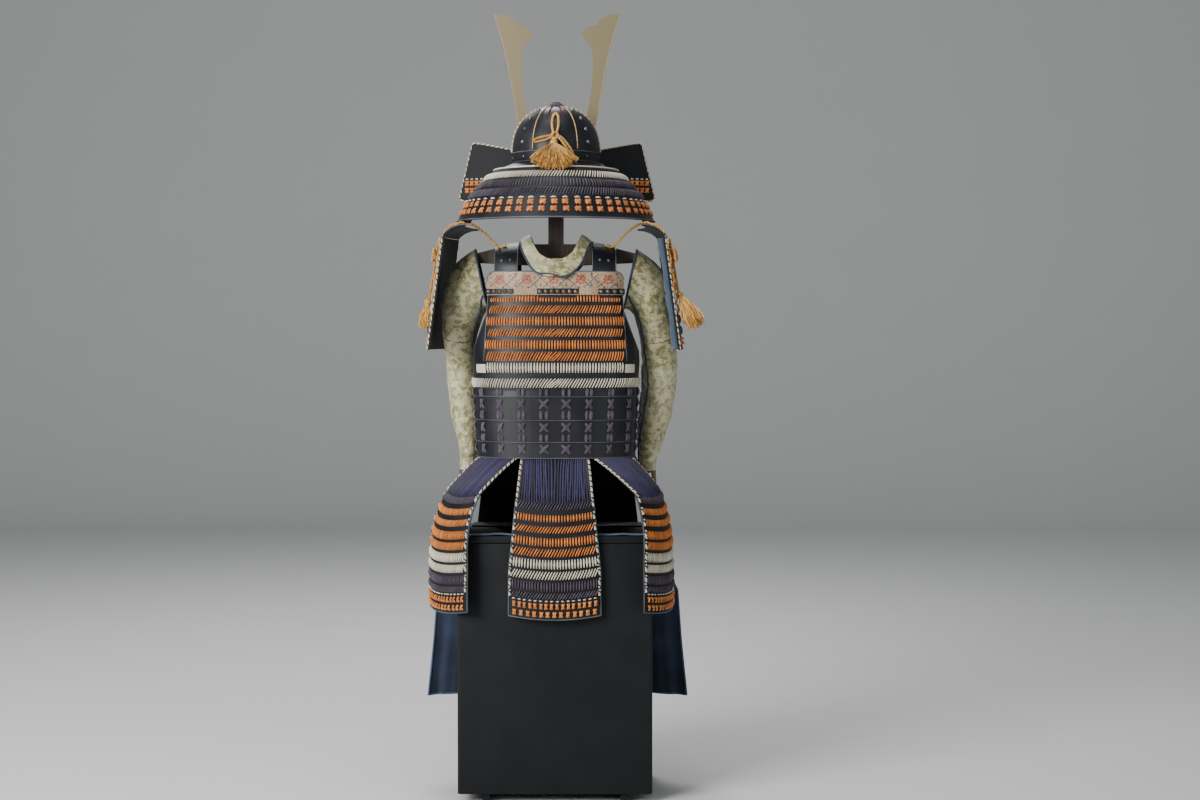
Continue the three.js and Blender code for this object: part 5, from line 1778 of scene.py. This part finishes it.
@dataclass
class Sleeve:
    """Brocade sleeve with piped edges, an open laced strip inside and its hand guard."""

    name: str
    side: int
    rings: Table
    folds: Table
    wall: float = 2.0

    def build(self) -> None:
        """Makes the sleeve's pieces."""
        face = SleeveFace(self.side, self.rings)

        def relief(turn: Array, share: Array) -> Array:
            """The folds, and two fine ripples."""
            out = np.zeros_like(turn)
            for at, angle, reach, width, height in self.folds:
                away = ((turn - angle + 180) % 360 - 180) / reach
                out += height * np.exp(-(((share - at - away * 0.035) / width) ** 2)) * np.exp(-(away**2))
            out += 0.9 * np.sin(np.radians(turn) * 5 + share * 19) * np.sin(share * 31)
            out += 0.5 * np.sin(np.radians(turn) * 9 + share * 53) * np.sin(share * 87 + 1)
            return out

        turns, shares = np.arange(0, 360, 6.0), np.linspace(0, 1, 125)
        maker = plate_shell(face, turns, shares, self.wall, relief, wrap=True)
        piece = maker.make(f"sleeve_brocade_{self.name}", Finishes.brocade, [f"sleeve_{self.name}"])
        self.make_piping(face, relief)
        self.make_strip(face, relief)
        dress(f"hand_guard_{self.name}", Finishes.brown)

    def make_piping(self, face: SleeveFace, relief: Relief) -> None:
        """Piping round both openings and along the inner seam."""
        pipe = MeshMaker()
        turns = np.linspace(0, 360, 120)
        for share in (0.0, 1.0):
            places = np.full_like(turns, share)
            pipe.tube(face.points(turns, places, relief(turns, places) - 1.0), 2.6)
        shares = np.linspace(0.02, 0.98, 90)
        turn = 118 + 16 * np.sin(shares * 7) + 46 * shares
        pipe.tube(face.points(turn, shares, relief(turn, shares) + 0.6), 2.2)
        seam = np.linspace(-60, 60, 40)
        share = 0.345 + 0.012 * np.sin(np.radians(seam * 2))
        pipe.tube(face.points(seam + 60, share, relief(seam + 60, share) + 0.1), 0.7, 6)
        pipe.make(f"sleeve_piping_{self.name}", Finishes.piping)

    def make_strip(self, face: SleeveFace, relief: Relief) -> None:
        """Pale strip with crossed black laces along the inner side."""
        turns, shares = np.linspace(150, 186, 9), np.linspace(0.46, 0.9, 40)
        strip = plate_shell(face, turns, shares, 1.1, lambda turn, share: relief(turn, share) + 1.4)
        piece = strip.make(f"sleeve_inner_strip_{self.name}", Finishes.backing)
        laces = MeshMaker()
        count = 8
        for step in range(count):
            low, high = (0.47 + 0.42 * (step + at) / count for at in (0, 1))
            for first, last in ((152, 184), (184, 152)):
                turn, share = np.linspace(first, last, 12), np.linspace(low, high, 12)
                laces.tube(face.points(turn, share, relief(turn, share) + 2.0), 0.9, 6)
        laces.make(f"sleeve_inner_laces_{self.name}", Finishes.dark_bead)


@dataclass
class ShoulderGuard:
    """Laced plate at the shoulder with its lining, top plate, cords and tassel."""

    name: str
    side: int
    turn: float
    drop: float
    length: float
    spread: float
    reach: float
    strands: int
    thick: float
    lined: bool

    def build(self) -> None:
        """Makes the guard's pieces."""
        face = GuardFace(self.side, self.turn)
        plate = plate_shell(
            face, np.linspace(-1, 1, 25), np.linspace(0, face.length, 30), 4.0,
            lambda across, down: 0.6 * np.sin(down * 0.243) - 0.2,
        )
        plate.make(f"shoulder_guard_plate_{self.name}", Finishes.inner_black, [f"shoulder_guard_{self.name}"])
        lacer = Lacer()
        orange, white, purple = Finishes.orange, Finishes.white, Finishes.purple
        silks = (purple, orange, orange, orange, orange, white, white, purple, purple)
        pitch = 25.8
        for number, silk in enumerate(silks):
            top = 4 + number * pitch
            weave = Weave.TALL if number % 2 else Weave.SLANT
            lacer.lay(face, Row(weave, silk, top, top + 20), -0.96, 0.96)
        for top in (5 + 9 * pitch, 15 + 9 * pitch):
            lacer.lay(face, Row(Weave.SQUARES, orange, top, top + 8, 13), -0.95, 0.95)
        for across in (-0.985, 0.985):
            line = face.line(across, (1, face.length - 1), 0.6, 200)
            lacer.braid(line, 1.7, 4.6)
        lacer.make(f"shoulder_guard_{self.name}")
        if self.lined:
            self.make_lining(face)
        self.make_top(face)
        self.make_cords(face)

    def make_lining(self, face: GuardFace) -> None:
        """Strip of lining that folds out along the guard's rear edge."""
        lining = MeshMaker()
        along = np.array([0.975, 0.985, 0.985, 0.97, 0.93, 0.82, 0.66, 0.5])[:, None]
        depth = np.array([4.3, 5.5, 12.0, 16.5, 18.0, 15.0, 9.5, 5.0])[:, None]
        down = np.linspace(5, face.length - 4, 60)[None]
        wave = 1 + 0.1 * np.sin(down / 17) - 0.3 * np.exp(-(((down - 132) / 4) ** 2))
        out = -4.2 - (depth - 4.2) * wave
        lining.shell(face.at(along, down, out), face.at(along - 0.012, down, out + 1.2))
        piece = lining.make(f"shoulder_guard_lining_{self.name}", Finishes.lining)

    def make_top(self, face: GuardFace) -> None:
        """Top plate with piped edges."""
        dress(f"guard_top_{self.name}", Finishes.inner_black)
        edge = MeshMaker()
        path = ((212, 1335.3), (229, 1333.3), (246, 1327.3), (258, 1318.3), (262.6, 1312.3))
        for along in (-0.985, 0.985):
            edge.tube(smooth_path(face.over([(x, z, along) for x, z in path], 0.0), 30), 1.6)
        edge.make(f"guard_top_edges_{self.name}", Finishes.edge)

    def make_cords(self, face: GuardFace) -> None:
        """Cord over the top plate, loops outside and the tassel."""
        held = StrapFace(self.side).at([116.0, 134.0], 62.0, 3.6)
        over = face.over(((212, 1338.7, 0.5), (229, 1337.6, 0.72), (246, 1332.5, 0.86)), 1.85)
        cord = MeshMaker()
        line = [*held, (self.side * 168, 56, 1320), (self.side * 194, 60, 1337), *over]
        cord.rope(smooth_path(line, 120), 3.1, 9.0)
        edge = (
            (214, 1338.4), (222, 1340.4), (232, 1335.4), (240, 1334.9),
            (249, 1328.4), (256, 1323.4), (262, 1316.4),
        )
        cord.rope(smooth_path(face.over([(x, z, 0.97) for x, z in edge], 1.2), 80), 2.6, 8.0)
        cord.make(f"guard_top_cord_{self.name}", Finishes.gold, [f"guard_cord_{self.name}"])

        def at(along: float, down: float, out: float) -> Array:
            """A point off the guard's laces."""
            return face.at(along, down, out + 5.5)

        loops = (
            (at(0.72, 8, 0), at(0.74, 30, 1), at(0.76, 50, 2), at(0.78, self.drop, 5)),
            (at(0.76, 50, 3), at(0.66, 34, 9), at(0.64, 58, 10), at(0.77, 56, 4)),
            (at(0.78, 50, 3), at(0.88, 32, 9), at(0.9, 60, 10), at(0.79, 57, 4)),
        )
        bow = MeshMaker()
        for loop in loops:
            bow.rope(smooth_path(loop, 80), 2.7, 8.0)
        for along in (0.9, 0.96):
            down = np.linspace(6, self.drop - 6, 22)
            wave = at(along + 0.02 * np.sin(down / 9), down, -1.5 + 1.5 * np.sin(down / 7))
            bow.rope(smooth_path(wave, 140), 2.2, 8.0)
        bow.make(f"guard_bow_{self.name}", Finishes.gold)
        reach = np.radians(self.reach)

        def swing(points: Array) -> Array:
            """Turns the hanging tassel outwards."""
            x, y, z = points[:, 0], points[:, 1], points[:, 2]
            x, y = y, -x
            x, z = x * np.cos(-reach) + z * np.sin(-reach), -x * np.sin(-reach) + z * np.cos(-reach)
            return np.stack([self.side * x, y, z], -1)

        tassel = Tassel(
            tuple(at(0.78, self.drop, 7)), 4.0, self.length, self.spread,
            strands=self.strands, turn=swing, thick=self.thick,
        )
        tassel.build(f"guard_tassel_strands_{self.name}", [f"guard_tassel_{self.name}"])


@dataclass
class Tasset:
    """One hanging skirt plate: laces from the waist, then rows down to its hem."""

    name: str
    face: TassetFace
    reach: float = 0.93
    braid: float = 0.962

    @staticmethod
    def rows() -> tuple[Row, ...]:
        """The rows from the top one down."""
        o, w, p = Finishes.orange, Finishes.white, Finishes.purple
        tall, slant = Weave.TALL, Weave.SLANT
        return (
            Row(slant, p, 4, 19.5), Row(tall, o, 31, 45.5), Row(slant, o, 57, 71),
            Row(tall, o, 82.5, 101), Row(slant, o, 108, 125), Row(tall, w, 132.5, 153),
            Row(slant, w, 159.5, 177), Row(tall, p, 184, 204), Row(slant, p, 209.5, 222),
            Row(Weave.DASHES, w, 225, 228.6, 12.6),
            Row(Weave.SQUARES, o, 231.5, 246.5, 12.6), Row(Weave.SQUARES, o, 250, 265.5, 15.2),
        )

    def build(self) -> None:
        """Makes the plates, the laces and the edge braids."""
        tops = [row.top for row in self.rows()]

        def relief(across: Array, down: Array) -> Array:
            """Plates that swell between the rows."""
            index = np.clip(np.searchsorted(tops, down, "right") - 1, 0, len(tops) - 1)
            share = np.clip((down - np.array(tops)[index]) / 26, 0, 1)
            return np.where(down < 0, -1.2, -0.2 + 0.5 * np.sin(share * np.pi))

        down = np.concatenate([np.linspace(-92, -2, 12), np.linspace(0, 271, 60)])
        plate = plate_shell(self.face, np.linspace(-1, 1, 25), down, 3.0, relief)
        plate.make(f"{self.name}_plates", Finishes.inner_black, [self.name])
        lacer = Lacer()
        places = self.face.even(-self.reach, self.reach, 0, 5.9)[:, None]
        run = np.linspace(0, 1, 12)[None]
        loose = DICE.uniform(-1, 1, (len(places), 2))
        sway = loose[:, :1] * 0.012 * np.sin(run * np.pi * 1.5)
        height = 1.2 + 0.25 * loose[:, 1:] + 0.3 * np.sin(run * 9 + loose[:, :1] * 4)
        lacer.maker(Finishes.violet).laid(self.face, places + sway, -91.5 + 94 * run, height, 4.6, 4.0)
        for row in self.rows():
            lacer.lay(self.face, row, -self.reach, self.reach)
            if row.weave in (Weave.TALL, Weave.SLANT):
                for sign in (-1, 1):
                    line = self.face.line(sign * self.braid, (row.top - 1, row.bottom + 1), 1.6, 20)
                    lacer.braid(line, 2.1, 4.4)
        for sign in (-1, 1):
            line = self.face.line(sign * self.braid, (-91.0, 2.0), 1.4, 120)
            lacer.braid(line, 2.3, 4.6)
        lacer.make(self.name)
        edge = MeshMaker()
        edge.tube(self.face.line(np.linspace(-0.99, 0.99, 20), 269.6, 0.2, 60), 1.5, 6)
        for sign in (-1, 1):
            edge.tube(self.face.line(sign * 0.992, (3, 270), -0.6, 60), 1.3, 6)
        edge.make(f"{self.name}_edges", Finishes.edge)


@dataclass
class ThighGuards:
    """Navy cloth over the chest's front, in a yoke and two panels."""

    def build(self) -> None:
        """Makes the yoke, the panels and their hems."""
        yoke = MeshMaker()
        places = np.linspace(-205, 205, 60)
        profile = (
            (-60, 619.9), (-100, 619.6), (-140, 619.7), (-158, 619.5), (-163.5, 617.5), (-165.0, 612),
            (-165.1, 600), (-165.2, 585), (-165.2, 570),
        )
        ripple = 0.8 * np.sin(places / 17) + 0.5 * np.sin(places / 41 + 1)
        outer, inner = [], []
        for place, wave in zip(places, ripple):
            column = [(place, y - wave * 0.5, z + abs(wave) * 0.6) for y, z in profile]
            outer.append([(x, y, z + 1.0) for x, y, z in column])
            back = [1.6 if z < 612 else 0.6 for _, z in profile]
            inner.append([(x, y + more, z - 0.6) for (x, y, z), more in zip(column, back)])
        yoke.shell(np.array(outer, float), np.array(inner, float))
        piece = yoke.make("thigh_guard_yoke_cloth", Finishes.navy, ["thigh_guard_yoke"])
        for side, name in SIDES:
            self.panel(side, name)

    @staticmethod
    def panel(side: int, name: str) -> None:
        """Makes one hanging panel.

        Args:
            side: 1 on the wearer's left, -1 on the right.
            name: left or right.
        """
        face = ApronFace(side)

        def relief(share: Array, z: Array) -> Array:
            """Soft ripples and a thick hem."""
            drop = (face.top - z) / (face.top - face.hem)
            fine = 3.4 * np.sin(share * 27 + drop * 1.6) * drop + 1.7 * np.sin(share * 61 + 1.3) * drop**1.5
            hem = np.exp(-(((z - face.hem - 5) / 6) ** 2)) + np.exp(-(((share - 0.985) / 0.02) ** 2))
            return 5.0 + fine + 1.6 * hem

        maker = plate_shell(face, np.linspace(0, 1, 90), np.linspace(face.hem, face.top, 46), 2.0, relief)
        piece = maker.make(f"thigh_guard_cloth_{name}", Finishes.navy, [f"thigh_guard_{name}"])
        seam = MeshMaker()
        shares, levels = np.linspace(0.01, 0.99, 30), np.linspace(face.hem + 2, face.top - 2, 30)
        for across, down, count in ((shares, face.hem + 1.5, 150), (0.995, levels, 90), (0.012, levels, 90)):
            seam.tube(face.line(across, down, relief(across, down) - 1, count), 2.4)
        seam.make(f"thigh_guard_hem_{name}", Finishes.satin)


# The armour


LEFT_RINGS = (
    (176, -2, 1212, 12, 72, 56), (203, -6, 1190, 42, 64, 56), (220, -18, 1140, 78, 51, 55),
    (230, -42, 1085, 88, 42, 52), (230, -72, 1030, 90, 38, 48), (225, -93, 975, 92, 39, 46),
    (221, -101, 900, 96, 37, 42), (214, -106, 830, 97, 28, 38), (214, -108, 782, 93, 21, 34),
    (218, -108, 752, 86, 20, 34),
)
RIGHT_RINGS = (
    (176, -2, 1212, 12, 72, 56), (203, -6, 1190, 42, 64, 56), (228, -18, 1140, 78, 47, 55),
    (240, -34, 1085, 86, 43, 53), (246, -50, 1030, 89, 42, 51), (246, -66, 960, 94, 41, 48),
    (237, -82, 890, 99, 38, 44), (225, -94, 820, 100, 30, 39), (219, -100, 778, 94, 22, 35),
    (219, -102, 750, 88, 20, 34),
)
LEFT_FOLDS = (
    (0.13, 70, 55, 0.022, 3.4), (0.2, 40, 60, 0.02, 4.0), (0.27, 110, 60, 0.018, -3.6),
    (0.33, 60, 50, 0.02, 3.6), (0.4, 95, 45, 0.016, 3.4), (0.46, 30, 60, 0.018, -3.2),
    (0.53, 120, 55, 0.02, 3.8), (0.6, 60, 50, 0.016, 3.0), (0.68, 100, 60, 0.02, -3.0),
    (0.76, 50, 50, 0.018, 3.2), (0.86, 90, 60, 0.016, 2.6), (0.94, 60, 70, 0.014, 2.0),
)
RIGHT_FOLDS = (
    (0.12, 60, 60, 0.02, 3.0), (0.19, 100, 55, 0.02, 4.2), (0.26, 50, 60, 0.018, -3.4),
    (0.38, 115, 60, 0.018, 4.4), (0.42, 60, 55, 0.016, -4.0), (0.46, 100, 60, 0.018, 4.4),
    (0.51, 60, 60, 0.016, 3.4), (0.57, 130, 55, 0.018, -3.0), (0.65, 80, 55, 0.02, 3.4),
    (0.74, 40, 60, 0.018, 3.0), (0.83, 100, 60, 0.018, -2.8), (0.92, 70, 70, 0.014, 2.2),
)
TASSETS = (
    Tasset("tasset_rear", TassetFace(-20, 20, 0, 380, 107, 698, 0, 178, 0, 192)),
    Tasset("tasset_rear_left", TassetFace(23, 69, 62, 240, 107, 709, 226, 114, 270, 122)),
    Tasset("tasset_rear_right", TassetFace(-69, -23, -71, 240, 107, 709, -230, 114, -262, 120)),
    Tasset("tasset_side_left", TassetFace(73, 113, 94, 300, 94, 709, 210, -50, 264, -57)),
    Tasset("tasset_side_right", TassetFace(-113, -73, -94, 300, 94, 709, -210, -50, -262, -57)),
    Tasset("tasset_front_left", TassetFace(117, 177, 172, 380, 100, 700, 104, -192, 108, -212)),
    Tasset("tasset_front_right", TassetFace(-177, -117, -172, 380, 100, 700, -104, -192, -108, -212)),
)


def main() -> None:
    """Builds the studio, then the armour from the floor up."""
    logging.basicConfig(level=logging.INFO, format="%(name)s %(message)s")
    guards = (
        ShoulderGuard("left", 1, 8, 158, 62, 26, 4, 190, 15, False),
        ShoulderGuard("right", -1, 3, 140, 88, 42, 26, 380, 25, True),
    )
    builds = (
        Studio(), Chest(), Stand(), Helmet(), Cuirass(), Collar(),
        Sleeve("left", 1, LEFT_RINGS, LEFT_FOLDS), Sleeve("right", -1, RIGHT_RINGS, RIGHT_FOLDS),
        *guards, *TASSETS, ThighGuards(),
    )
    for piece in builds:
        LOG.info("building %s", getattr(piece, "name", type(piece).__name__))
        piece.build()


if __name__ == "__main__":
    main()
